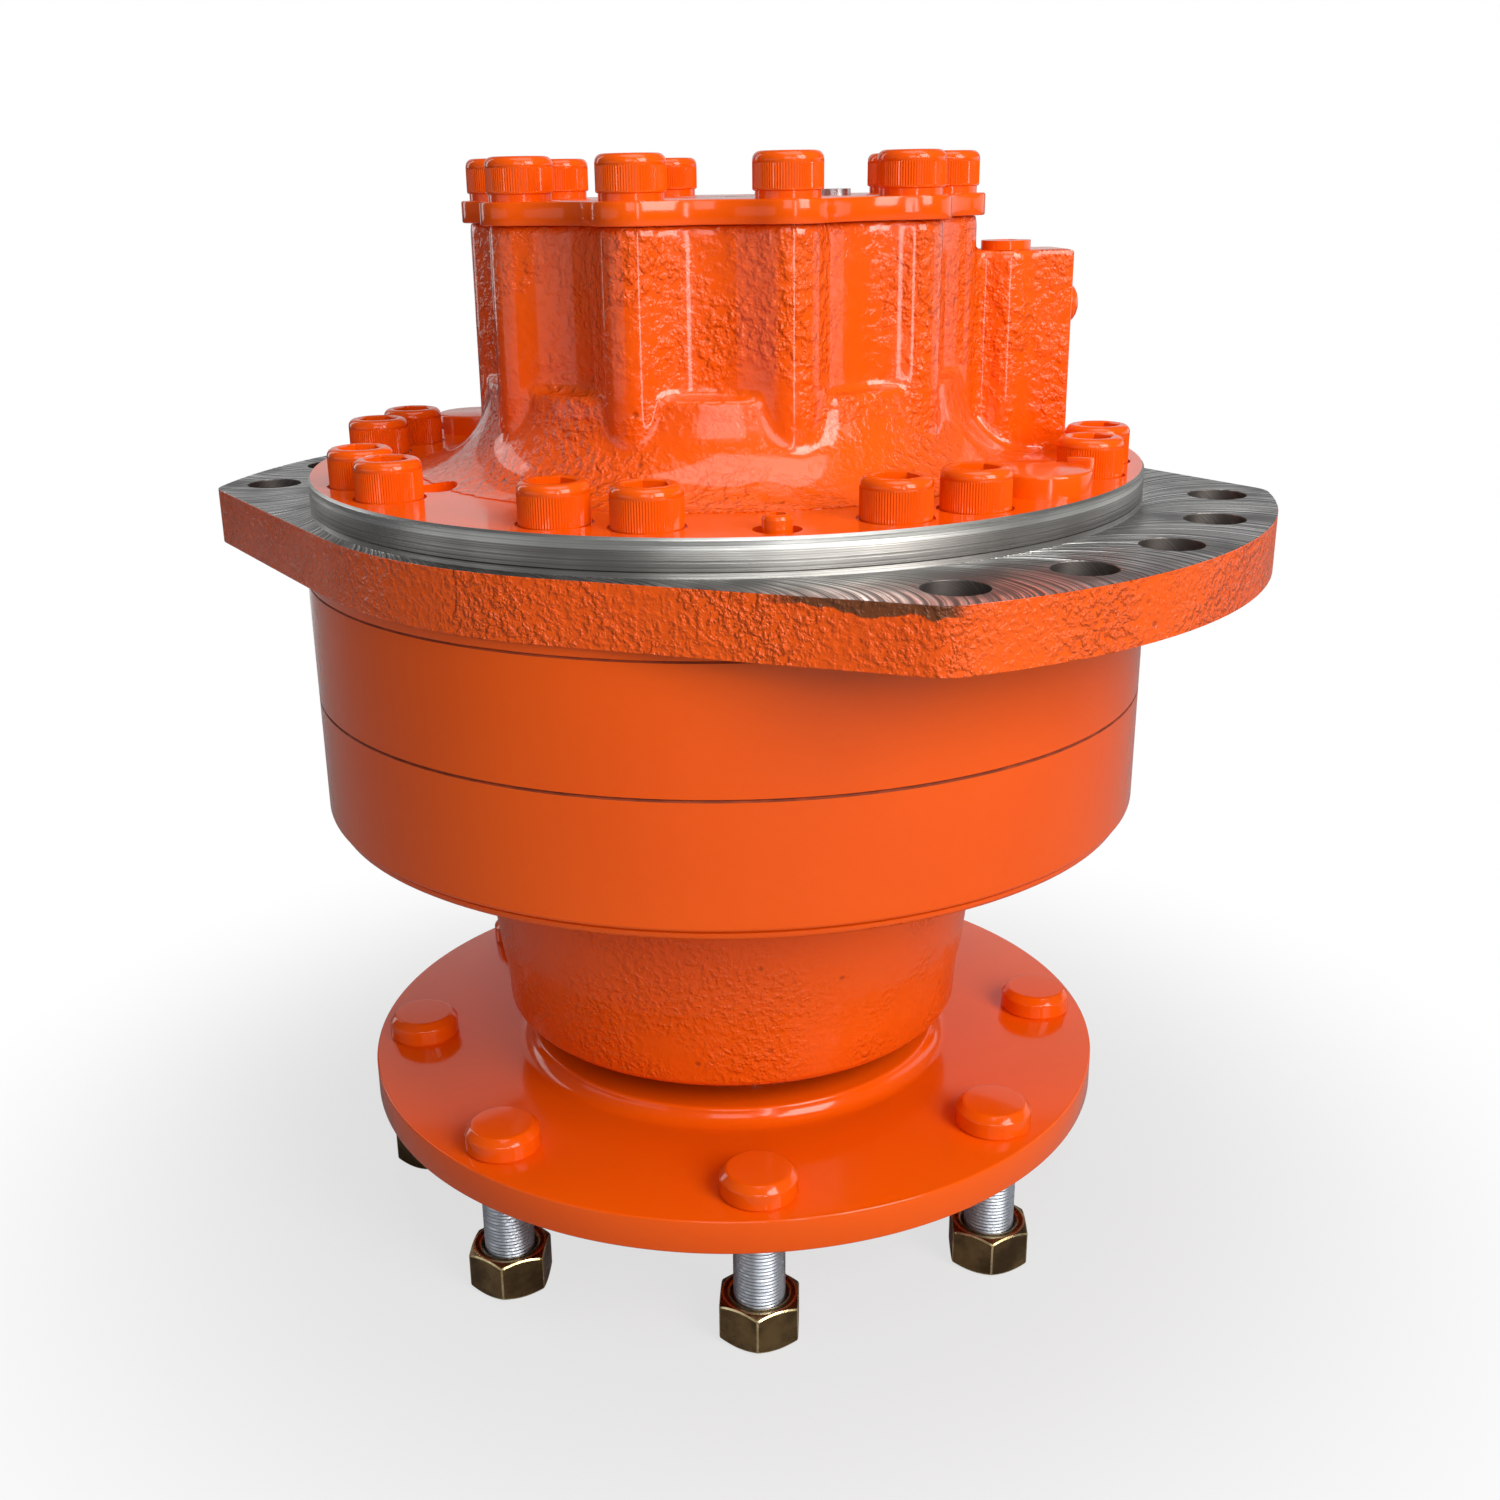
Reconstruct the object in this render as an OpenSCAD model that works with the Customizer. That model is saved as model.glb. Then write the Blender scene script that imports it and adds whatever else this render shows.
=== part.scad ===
// Hydraulic wheel motor of the radial-piston kind, with a multi-disc holding brake.
// Millimetres. Z is the motor axis, z = 0 is the face that the wheel sits on, and +X runs
// through the middle of one lug of the chassis flange.

/* [Wheel flange] */
// Diameter of the wheel disc
wheel_disc_d = 315; // [305:1:325]
// Thickness of the wheel disc
wheel_disc_t = 14; // [11:0.5:18]
// Diameter of the spigot that centres the wheel
wheel_pilot_d = 220; // [160:1:230]
// Height of that spigot
wheel_pilot_h = 12; // [6:1:20]
// Number of wheel studs
stud_count = 8; // [5:1:10]
// Diameter of the stud circle
stud_circle_d = 275; // [262:1:281]
// Diameter of a stud
stud_d = 20; // [16:1:22]
// Diameter of a stud's round head
stud_head_d = 29.8; // [27:0.1:33]
// Height of a stud's head above the disc
stud_head_h = 10; // [6:0.5:12]
// How far a stud reaches below the wheel face
stud_reach = 47.5; // [40:0.5:70]
// Width across the flats of a wheel nut
nut_af = 30; // [28:0.5:34]
// Height of a wheel nut
nut_h = 17.5; // [12:0.5:20]
// Angle of the first stud from +X, with the wheel as it stands at rest
wheel_turn = -2.5; // [-22.5:0.5:22.5]
// Diameter of the raised collar on the disc
collar_d = 179; // [160:1:190]
// Height of that collar above the disc
collar_h = 6.5; // [3:0.5:9]

/* [Bearing housing] */
// Outer diameter of the motor body
body_d = 333; // [325:1:337]
// Height of the neck's lower edge above the wheel face
neck_z = 33; // [30:0.5:36]
// Outer diameter of the neck at its lower edge
neck_low_d = 190; // [188:1:196]
// Outer diameter of the neck where it flares out
neck_top_d = 207; // [200:1:216]
// Height of the body's underside
body_z = 129; // [126:1:133]
// Height of the joint between the housing and the cam ring
seam_z = 180; // [176:1:186]

/* [Bearings] */
// Bore of the lower bearing
front_bore = 105; // [98:1:110]
// Outer diameter of the lower bearing
front_od = 160; // [154:1:164]
// Width of the lower bearing
front_w = 35; // [33:1:37]
// Bore of the upper bearing
rear_bore = 95; // [90:1:98]
// Outer diameter of the upper bearing
rear_od = 145; // [140:1:150]
// Width of the upper bearing
rear_w = 32; // [30:1:34]
// Rollers in each bearing
roller_count = 24; // [18:1:26]
// Contact angle of both bearings
roller_tilt = 14; // [11:0.5:16]

/* [Cam and pistons] */
// Height of the cam ring
cam_h = 47; // [44:1:52]
// Number of lobes of the cam
lobe_count = 6; // [4:1:8]
// Gap between the cylinder block and the crests of the cam
cam_gap = 4; // [3.5:0.5:6]
// Piston stroke, from a crest of the cam to a hollow
cam_lift = 12; // [6:0.5:13]
// Diameter of a piston
piston_d = 44; // [40:0.5:46]
// Diameter of a piston's roller
piston_roller_d = 26; // [22:0.5:27]
// Length of a piston's roller
piston_roller_l = 34; // [28:0.5:34]
// Iron between the hollows of the cam and the middle of the cover screws
cam_wall = 17; // [15.5:0.5:19]
// Height of the cylinder block
block_h = 55; // [51:1:58]

/* [Chassis flange] */
// Thickness of the chassis flange's plate
flange_t = 22; // [18:0.5:27]
// Height of the round seat between that plate and the cam ring
flange_seat_h = 3.5; // [2:0.5:6]
// How far the flange stands out from the body between its lugs
flange_waist = 1.5; // [0.5:0.5:4]
// How far a lug stands out from the body
flange_lug = 45.5; // [43:0.5:53]
// Half the angle that a lug spans
lug_half_angle = 33.5; // [33:0.5:36]
// Radius that rounds the corners of a lug
lug_corner_r = 15; // [5:1:20]
// Diameter of the chassis holes
chassis_hole_d = 22; // [17:0.5:23]
// Distance from the edge of a lug to the middle of its holes
chassis_edge = 20.5; // [18.5:0.5:23]
// Angle between two holes of a lug
chassis_hole_step = 15; // [12:0.5:15]
// How far the ring that centres the motor stands in from the body
pilot_inset = 3.5; // [2.5:0.5:5.5]
// Height of the step that this ring starts with
pilot_step_h = 2; // [1:0.5:4]

/* [Cover] */
// Thickness of the cover's flange
cover_flange_t = 11; // [9:0.5:14]
// Height of the cover's tower above its flange
tower_h = 90; // [86:1:96]
// Distance from the body's wall to the middle of the cover screws
screw_edge = 21.5; // [21:0.5:22.5]
// Half the angle between the two screws of a pair
pair_half_angle = 6.3; // [5.8:0.1:8]
// Number of pairs of cover screws
pair_count = 8; // [6:2:8]
// Thread diameter of the cover and top screws
screw_d = 16; // [14:1:16]
// Number of screws that hold the top plate
top_screw_count = 10; // [8:1:10]
// Distance from the cover screws inwards to the top screws
top_screw_step = 59.8; // [58.6:0.2:60.6]
// Radius of the tower's columns, one round each top screw
column_r = 11.7; // [11.5:0.1:14]
// Thickness of the top plate
plate_t = 8; // [6:0.5:12]
// Radius of the plate's lobes
plate_lobe_r = 14.5; // [14:0.1:16]

/* [Ports] */
// Thread diameter of the two main ports
main_port_d = 33.2; // [20:0.1:34]
// Distance between the main ports
main_port_gap = 62; // [56:1:68]
// Thread diameter of the case drain port
drain_port_d = 13.2; // [9:0.1:16.6]
// Thread diameter of the brake port
brake_port_d = 13.2; // [9:0.1:16.6]
// Depth of the main ports
main_port_depth = 24; // [16:1:26]

/* [Brake] */
// Number of friction discs that turn with the shaft
brake_disc_count = 5; // [3:1:6]
// Thickness of every brake disc
brake_disc_t = 2; // [1.5:0.1:2.4]
// Iron between the top screws and the brake chamber
brake_wall = 14.2; // [13.2:0.2:18]
// How far the brake piston lifts
brake_lift = 2.5; // [1:0.1:3]

/* [Fits] */
// Gap round a shaft or a pin that turns in a hole
run_gap = 0.05; // [0.03:0.01:0.08]
// Gap between parts that are pressed or screwed together
press_gap = 0.03; // [0.02:0.01:0.06]
// Gap between turning faces that nearly touch
face_gap = 0.1; // [0.05:0.05:0.3]

/* [Hidden] */
$fn = 96;
eps = 0.01;

PISTONS = 8;

// Paint and metal colours
paint = [0.96, 0.35, 0.05];
steel = [0.66, 0.67, 0.68];
dark_steel = [0.42, 0.43, 0.45];
zinc = [0.74, 0.77, 0.80];
bronze_zinc = [0.38, 0.31, 0.17];
rubber_black = [0.08, 0.08, 0.09];
friction_brown = [0.36, 0.28, 0.20];

// Heights, from the wheel face upwards
disc_top = wheel_disc_t;
collar_top = disc_top + collar_h;
cam_top = seam_z + cam_h;
plate_z = cam_top + flange_seat_h;
flange_top = plate_z + flange_t;
cover_z = flange_top + pilot_step_h;
cover_flange_top = cover_z + cover_flange_t;
tower_top = cover_flange_top + tower_h;
plate_top = tower_top + plate_t;

// Bearing stack inside the neck
seal_h = 14;
front_z = neck_z + 2 + seal_h;
front_top = front_z + front_w;
shoulder_t = 14;
rear_z = front_top + shoulder_t;
rear_top = rear_z + rear_w;
bearing_nut_h = 13;
seal_od = front_od + 4;
journal_r = 62;

// Circles that follow the body's wall
body_r = body_d / 2;
cover_screw_r = body_r - screw_edge;
top_screw_r = cover_screw_r - top_screw_step;
cam_min_r = cover_screw_r - cam_wall - cam_lift;
block_d = 2 * (cam_min_r - cam_gap);
flange_waist_d = body_d + 2 * flange_waist;
flange_lug_d = body_d + 2 * flange_lug;
chassis_circle_d = flange_lug_d - 2 * chassis_edge;
chassis_pilot_d = body_d - 2 * pilot_inset;
brake_bore_d = 2 * (top_screw_r - brake_wall);

// Cylinder block and its chamber
cam_mid_z = seam_z + cam_h / 2;
block_z = cam_mid_z - block_h / 2;
block_top = cam_mid_z + block_h / 2;
chamber_r = block_d / 2 + 6;
chamber_z = block_z - 24;
spline_r = 42;
spline_depth = 3;
spline_teeth = 24;
spline_core_r = spline_r - spline_depth - 0.2;
roller_rest_gap = 1;
cam_roller_r = piston_roller_d / 2;
cam_roller_at = cam_min_r - roller_rest_gap - cam_roller_r;
piston_back = 32;
piston_in_r = cam_roller_at - piston_back;
piston_out_r = cam_roller_at + 3;
feed_at = piston_in_r + 1;

// Screws
head_r = screw_d * 0.75;
head_h = screw_d - 1;
spot_depth = 1;
screw_hole_r = screw_d / 2 + 0.75;
cover_thread_depth = 34;
top_thread_depth = 34;

// Tower, lug block and port block of the cover
tower_fillet_r = 50;
flare_r = 33;
flare_out_r = cover_screw_r - 20;
distributor_r = feed_at + 16;
sleeve_r = distributor_r + 26;
sleeve_z = block_top + 9;
distributor_z = block_top + face_gap;
brake_z = cover_flange_top + 34;
brake_shaft_r = 30;
lug_turn = 45;
lug_half_w = 14;
lug_reach = cover_screw_r - 10;
lug_boss_at = lug_reach - 25;
lug_boss_side = -5;
lug_top = tower_top - 13;
port_turn = 135;
port_block_w = 124;
port_block_reach = cover_screw_r - 9;
port_block_z = cover_flange_top + 20;
port_block_h = lug_top - port_block_z;
port_neck_w = 50;

function pair_angle(i) = 360 / pair_count * (i + 0.5);
function ring_angle(i, n) = 360 / n * i;

// Gives its children once at each screw of the cover
module at_cover_screws() {
    for (i = [0 : pair_count - 1], side = [-1, 1])
        rotate(pair_angle(i) + side * pair_half_angle)
            translate([cover_screw_r, 0, 0])
                children();
}

module at_top_screws() {
    for (i = [0 : top_screw_count - 1])
        rotate(ring_angle(i, top_screw_count))
            translate([top_screw_r, 0, 0])
                children();
}

function stud_angle(i) = wheel_turn + ring_angle(i, stud_count);

module at_studs() {
    for (i = [0 : stud_count - 1])
        rotate(stud_angle(i))
            translate([stud_circle_d / 2, 0, 0])
                children();
}

module at_chassis_holes() {
    for (side = [0, 180], i = [-2 : 2])
        rotate(side + i * chassis_hole_step)
            translate([chassis_circle_d / 2, 0, 0])
                children();
}

// Ring with a square section
module ring(r_out, r_in, z, h) {
    translate([0, 0, z])
        difference() {
            cylinder(r = r_out, h = h);
            translate([0, 0, -1])
                cylinder(r = r_in, h = h + 2);
        }
}

// Rubber ring with a round section
module o_ring(r, section_r, z) {
    translate([0, 0, z])
        rotate_extrude()
            translate([r, 0])
                circle(r = section_r, $fn = 32);
}

// Groove for a rubber ring, opening upwards
module face_groove(r, width, z, depth) {
    translate([0, 0, z])
        difference() {
            cylinder(r = r + width / 2, h = depth + 1);
            translate([0, 0, -1])
                cylinder(r = r - width / 2, h = depth + 3);
        }
}

// Socket-head screw with its head resting on z = 0 and its shank down to -len
module socket_screw(d, len, r_head, h_head, base_band = 0) {
    band = max(base_band, 0.4);
    edge = min(1.5, h_head / 4);
    key_r = d * 0.5 * 0.875 / cos(30);
    difference() {
        rotate_extrude()
            polygon([
                [0, -len], [d / 2 - 1, -len], [d / 2, -len + 1], [d / 2, 0],
                [r_head - 0.8, 0], [r_head - 0.8, band], [r_head, band + 0.5],
                [r_head, h_head - edge], [r_head - edge * 0.3, h_head - edge * 0.3],
                [r_head - edge, h_head], [0, h_head]
            ]);
        translate([0, 0, h_head * 0.5])
            cylinder(r = key_r, h = h_head, $fn = 6);
    }
}

// Outline of a toothed shaft: straight teeth with slanted flanks
function spline_outline(r_low, r_high, teeth, gap) =
    let (step = 360 / teeth, wide = 0.27 * step + gap / r_low * 57.3,
         slim = 0.17 * step + gap / r_high * 57.3)
    [for (i = [0 : teeth - 1], k = [0 : 3])
        let (a = i * step + [-wide, -slim, slim, wide][k],
             r = (k == 0 || k == 3 ? r_low : r_high) + gap)
        [r * cos(a), r * sin(a)]];

module spline(z, h, r_high, gap = 0, teeth = spline_teeth, depth = spline_depth) {
    translate([0, 0, z])
        linear_extrude(h)
            polygon(spline_outline(r_high - depth, r_high, teeth, gap));
}

// Outline with n lobes on a circle, joined by hollow arcs that touch each lobe
module lobed_outline(n, circle_r, lobe_r, hollow_r) {
    half = 180 / n;
    reach = lobe_r + hollow_r;
    far = circle_r * cos(half) + sqrt(reach * reach - pow(circle_r * sin(half), 2));
    difference() {
        union() {
            polygon([for (i = [0 : n - 1], k = [0 : 1])
                let (a = 2 * half * i + k * half, r = k == 0 ? circle_r : far)
                [r * cos(a), r * sin(a)]]);
            for (i = [0 : n - 1])
                rotate(2 * half * i)
                    translate([circle_r, 0])
                        circle(r = lobe_r);
        }
        for (i = [0 : n - 1])
            rotate(2 * half * i + half)
                translate([far, 0])
                    circle(r = hollow_r);
    }
}

// Taper roller bearing: its lines all meet at one point on the axis, apex_z below z = 0
function bearing_mid_r(bore, od) = (bore + od) / 4;
function roller_mid_r(bore, od) = (od - bore) / 2 * 0.225;
function apex_z(bore, od, w) = w / 2 - bearing_mid_r(bore, od) / tan(roller_tilt);
function apex_len(bore, od) = bearing_mid_r(bore, od) / sin(roller_tilt);
function half_taper(bore, od) = atan(roller_mid_r(bore, od) / apex_len(bore, od));
function race_r(bore, od, w, z, side) =
    (z - apex_z(bore, od, w)) * tan(roller_tilt + side * half_taper(bore, od));
roller_len_share = 0.68;

module bearing_cup(bore, od, w) {
    low = 0;
    high = w - 5;
    color(dark_steel)
        rotate_extrude()
            polygon([
                [race_r(bore, od, w, low, 1) + run_gap, low], [od / 2 - 1, low], [od / 2, low + 1],
                [od / 2, high - 1], [od / 2 - 1, high],
                [race_r(bore, od, w, high, 1) + run_gap, high]
            ]);
}

module bearing_cone(bore, od, w) {
    half_l = w * roller_len_share / 2;
    mid = apex_len(bore, od);
    taper = half_taper(bore, od);
    low_r = (mid - half_l) * tan(taper);
    high_r = (mid + half_l) * tan(taper);
    low_z = apex_z(bore, od, w) + (mid - half_l) * cos(roller_tilt) + low_r * sin(roller_tilt) - 0.9;
    high_z = apex_z(bore, od, w) + (mid + half_l) * cos(roller_tilt) + high_r * sin(roller_tilt) + 0.1;
    low_race = race_r(bore, od, w, low_z, -1) - run_gap;
    high_race = race_r(bore, od, w, high_z, -1) - run_gap;
    rib = 2;
    color(dark_steel)
        rotate_extrude()
            polygon([
                [bore / 2, 3], [low_race + rib, 3], [low_race + rib, low_z], [low_race, low_z],
                [high_race, high_z], [high_race + rib * 1.6, high_z], [high_race + rib * 1.6, w],
                [bore / 2, w]
            ]);
}

// Rollers, and the steel cage that spaces them
module bearing_rollers(bore, od, w) {
    half_l = w * roller_len_share / 2;
    mid = apex_len(bore, od);
    taper = half_taper(bore, od);
    apex = apex_z(bore, od, w);
    cage_t = 1;
    cage_gap = 0.4;
    start = mid - half_l;
    end = mid + half_l;
    low_r = start * tan(taper);
    high_r = end * tan(taper);
    color(steel)
        for (i = [0 : roller_count - 1])
            rotate(ring_angle(i, roller_count))
                translate([0, 0, apex])
                    rotate([0, roller_tilt, 0])
                        translate([0, 0, start])
                            cylinder(r1 = low_r, r2 = high_r, h = end - start, $fn = 48);
    color(steel)
        for (i = [0 : roller_count - 1])
            rotate(ring_angle(i + 0.5, roller_count))
                translate([0, 0, apex])
                    rotate([0, roller_tilt, 0])
                        translate([-1, -cage_t / 2, start - cage_gap])
                            cube([2, cage_t, end - start + 2 * cage_gap]);
    color(steel) {
        cage_ring(apex + (start - cage_gap) * cos(roller_tilt) - cage_t,
            (start - cage_gap) * sin(roller_tilt), cage_t);
        cage_ring(apex + (end + cage_gap) * cos(roller_tilt),
            (end + cage_gap) * sin(roller_tilt), cage_t);
    }
}

module cage_ring(z, r, t) {
    ring(r + 1.2, r - 1.2, z, t);
}

// The lower bearing has its wide end down, the upper one has it up
module place_front() {
    translate([0, 0, front_top])
        mirror([0, 0, 1])
            children();
}

module place_rear() {
    translate([0, 0, rear_z])
        children();
}

// Wheel disc and output shaft, one forging
module wheel_shaft() {
    fillet = 7;
    edge = 1;
    cone_z = front_z;
    color(paint)
        difference() {
            rotate_extrude()
                polygon(concat(
                    [[0, -wheel_pilot_h + 6], [40, -wheel_pilot_h + 6], [46, -wheel_pilot_h],
                     [wheel_pilot_d / 2 - 2, -wheel_pilot_h], [wheel_pilot_d / 2, -wheel_pilot_h + 2],
                     [wheel_pilot_d / 2, 0], [wheel_disc_d / 2 - edge, 0],
                     [wheel_disc_d / 2, edge], [wheel_disc_d / 2, disc_top - edge],
                     [wheel_disc_d / 2 - edge, disc_top],
                     [collar_d / 2 + fillet, disc_top]],
                    [for (k = [1 : 7])
                        [collar_d / 2 + fillet - (fillet - 1) * sin(k * 12),
                         disc_top + (collar_h - 1) * (1 - cos(k * 12))]],
                    [[collar_d / 2, collar_top - 1], [collar_d / 2 - 1, collar_top],
                     [journal_r + 12, collar_top], [journal_r + 4, collar_top - 2],
                     [journal_r, collar_top - 2], [journal_r, cone_z],
                     [front_bore / 2 - press_gap, cone_z],
                     [front_bore / 2 - press_gap, front_top - 2],
                     [front_bore / 2 - 2, front_top],
                     [front_bore / 2 - 2, rear_z - 3], [rear_bore / 2 - press_gap, rear_z],
                     [rear_bore / 2 - press_gap, rear_top],
                     [rear_bore / 2 - 1.5, rear_top],
                     [rear_bore / 2 - 1.5, rear_top + bearing_nut_h + 2],
                     [spline_core_r, rear_top + bearing_nut_h + 6],
                     [spline_core_r, block_z + 26], [0, block_z + 26]]
                ));
            at_studs()
                translate([0, 0, -1])
                    cylinder(r = stud_knurl_r + press_gap, h = wheel_disc_t + 2);
        }
    color(steel)
        spline(block_z - 4, 30, spline_r);
}

// Studs with low round heads on the upper side of the disc and a knurled part pressed into
// it. Inside its nut a stud is as thick as the middle of the threads, as the nut's bore is
stud_knurl_r = stud_d / 2 + 1;
thread_mid_r = stud_d / 2 * 0.92;
nut_z = -stud_reach - 0.5;
nut_top = nut_z + nut_h;
module wheel_studs() {
    edge = 3;
    color(zinc)
        at_studs()
            rotate_extrude()
                polygon(concat(
                    [[0, -stud_reach], [thread_mid_r - 1, -stud_reach],
                     [thread_mid_r, -stud_reach + 1], [thread_mid_r, nut_top + 0.1],
                     [stud_d / 2, nut_top + 0.1], [stud_d / 2, 0], [stud_knurl_r, 0],
                     [stud_knurl_r, disc_top], [stud_head_d / 2, disc_top]],
                    [for (k = [0 : 6])
                        [stud_head_d / 2 - edge + edge * cos(k * 15),
                         disc_top + stud_head_h - edge + edge * sin(k * 15)]],
                    [[0, disc_top + stud_head_h]]
                ));
}

// Hexagon nuts run part of the way up the studs
module wheel_nuts() {
    corner_r = nut_af / 2 / cos(30);
    face_r = nut_af / 2 * 0.95;
    wide_r = corner_r + 1;
    slope = (wide_r - face_r) * tan(30);
    color(bronze_zinc)
        for (i = [0 : stud_count - 1])
            rotate(stud_angle(i))
                translate([stud_circle_d / 2, 0, nut_z])
                    difference() {
                        intersection() {
                            rotate(nut_turn - stud_angle(i))
                                cylinder(r = corner_r, h = nut_h, $fn = 6);
                            rotate_extrude()
                                polygon([
                                    [0, 0], [face_r, 0], [wide_r, slope], [wide_r, nut_h - slope],
                                    [face_r, nut_h], [0, nut_h]
                                ]);
                        }
                        translate([0, 0, -1])
                            cylinder(r = thread_mid_r + press_gap, h = nut_h + 2);
                    }
}
nut_turn = -54;

// Cast neck and lower half of the motor body
module bearing_housing() {
    lip_r = body_d / 2 - 2.2;
    flare = 25;
    low_r = neck_low_d / 2;
    top_r = neck_top_d / 2;
    round_low = 8;
    color(paint)
        difference() {
            rotate_extrude()
                polygon(concat(
                    [[seal_od / 2, neck_z], [low_r - 3, neck_z]],
                    [for (k = [0 : 6])
                        [low_r - 3 + 3 * sin(k * 15) * 1.0, neck_z + round_low * (1 - cos(k * 15))]],
                    [[low_r + 3, neck_z + 18], [top_r - 2.5, neck_z + 34], [top_r, body_z - flare - 10]],
                    [for (k = [0 : 9])
                        [top_r + flare * (1 - cos(k * 10)), body_z - flare + flare * sin(k * 10)]],
                    [[lip_r - 2, body_z], [lip_r, body_z + 2], [lip_r, body_z + 3.6],
                     [body_d / 2 - 0.8, body_z + 4], [body_d / 2, body_z + 4.8],
                     [body_d / 2, seam_z - 0.4], [body_d / 2 - 0.4, seam_z],
                     [chamber_r, seam_z], [chamber_r, chamber_z + 6], [chamber_r - 6, chamber_z],
                     [rear_od / 2 + 8, chamber_z], [rear_od / 2 + 5, chamber_z - 3],
                     [rear_od / 2 + 5, rear_top - 5], [rear_od / 2 + press_gap, rear_top - 5],
                     [rear_od / 2 + press_gap, rear_z], [rear_od / 2 - 7, rear_z],
                     [rear_od / 2 - 7, front_top], [front_od / 2 + press_gap, front_top],
                     [front_od / 2 + press_gap, front_z], [seal_od / 2, front_z]]
                ));
            at_cover_screws()
                translate([0, 0, seam_z - cover_thread_depth])
                    cylinder(r = screw_d / 2 + press_gap, h = cover_thread_depth + 1);
            face_groove(seam_ring_r, 4, seam_z - seam_ring_h, seam_ring_h);
        }
}
seam_ring_r = (cam_min_r + cam_lift + cover_screw_r - screw_hole_r) / 2;
seam_ring_h = 3;

// Lip seal pressed into the neck round the shaft
module shaft_seal() {
    z = front_z - seal_h + 1;
    lip = journal_r + run_gap;
    color(rubber_black)
        rotate_extrude()
            polygon([
                [seal_od / 2 - press_gap, z], [seal_od / 2 - press_gap, z + 12],
                [seal_od / 2 - 3, z + 12], [seal_od / 2 - 3, z + 3], [lip + 7, z + 3],
                [lip + 4, z + 7], [lip + 3.2, z + 11], [lip + 0.8, z + 10.5], [lip, z + 8.5],
                [lip + 2, z + 3], [lip + 0.4, z], [lip + 6, z]
            ]);
}

// Coiled ring spring that holds the seal's lip down
module shaft_seal_spring() {
    z = front_z - seal_h + 1;
    color(steel)
        o_ring(journal_r + run_gap + 5, 1.3, z + 8.7);
}

// Ring nut that clamps the bearings on the shaft
module bearing_nut() {
    color(dark_steel)
        difference() {
            ring(rear_bore / 2 + 12, rear_bore / 2 - 1.5 + press_gap, rear_top, bearing_nut_h);
            for (i = [0 : 3])
                rotate(ring_angle(i, 4))
                    translate([rear_bore / 2 + 7, -4, rear_top + 4])
                        cube([8, 8, bearing_nut_h]);
        }
}

// Waved track that the piston rollers push against
function cam_r(a) = cam_min_r + cam_lift / 2 * (1 + cos(lobe_count * a));

module cam_ring() {
    steps = 216;
    color(paint)
        difference() {
            translate([0, 0, seam_z])
                rotate_extrude()
                    polygon([
                        [0, 0], [body_d / 2 - 0.4, 0], [body_d / 2, 0.4],
                        [body_d / 2, cam_h - 0.4], [body_d / 2 - 0.4, cam_h], [0, cam_h]
                    ]);
            translate([0, 0, seam_z - 1])
                linear_extrude(cam_h + 2)
                    polygon([for (i = [0 : steps - 1])
                        let (a = 360 / steps * i)
                        [cam_r(a) * cos(a), cam_r(a) * sin(a)]]);
            at_cover_screws()
                translate([0, 0, seam_z - 1])
                    cylinder(r = screw_hole_r, h = cam_h + 2);
        }
}

// Angle of a piston from +X, with the wheel at rest
function piston_angle(i) = ring_angle(i, PISTONS);

module along_piston(i) {
    rotate(piston_angle(i))
        translate([0, 0, cam_mid_z])
            rotate([0, 90, 0])
                children();
}

// Rotor with radial bores, splined to the wheel shaft and the brake shaft
module cylinder_block() {
    feed_r = 5;
    color(steel)
        difference() {
            translate([0, 0, block_z])
                rotate_extrude()
                    polygon([
                        [spline_r - spline_depth - 1, 0], [block_d / 2 - 1.5, 0], [block_d / 2, 1.5],
                        [block_d / 2, block_h - 1.5], [block_d / 2 - 1.5, block_h],
                        [spline_r - spline_depth - 1, block_h]
                    ]);
            spline(block_z - 1, block_h + 2, spline_r, press_gap);
            for (i = [0 : PISTONS - 1]) {
                along_piston(i)
                    translate([0, 0, piston_in_r - 2])
                        cylinder(r = piston_d / 2 + run_gap, h = block_d);
                rotate(piston_angle(i))
                    translate([feed_at, 0, cam_mid_z])
                        cylinder(r = feed_r, h = block_h);
            }
        }
}

// Piston with a half-round seat for its roller
module piston(i) {
    color(dark_steel)
        along_piston(i)
            difference() {
                translate([0, 0, piston_in_r])
                    rotate_extrude()
                        polygon([
                            [0, 3], [6, 3], [8, 0], [piston_d / 2 - 1, 0], [piston_d / 2, 1],
                            [piston_d / 2, piston_out_r - piston_in_r - 1],
                            [piston_d / 2 - 1, piston_out_r - piston_in_r],
                            [0, piston_out_r - piston_in_r]
                        ]);
                translate([-piston_roller_l / 2 - run_gap, 0, cam_roller_at])
                    rotate([0, 90, 0])
                        cylinder(r = cam_roller_r + run_gap, h = piston_roller_l + 2 * run_gap);
            }
}

module cam_roller(i) {
    color(steel)
        along_piston(i)
            translate([-piston_roller_l / 2, 0, cam_roller_at])
                rotate([0, 90, 0])
                    rotate_extrude()
                        polygon([
                            [0, 0], [cam_roller_r - 0.6, 0], [cam_roller_r, 0.6],
                            [cam_roller_r, piston_roller_l - 0.6],
                            [cam_roller_r - 0.6, piston_roller_l], [0, piston_roller_l]
                        ]);
}

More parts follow.
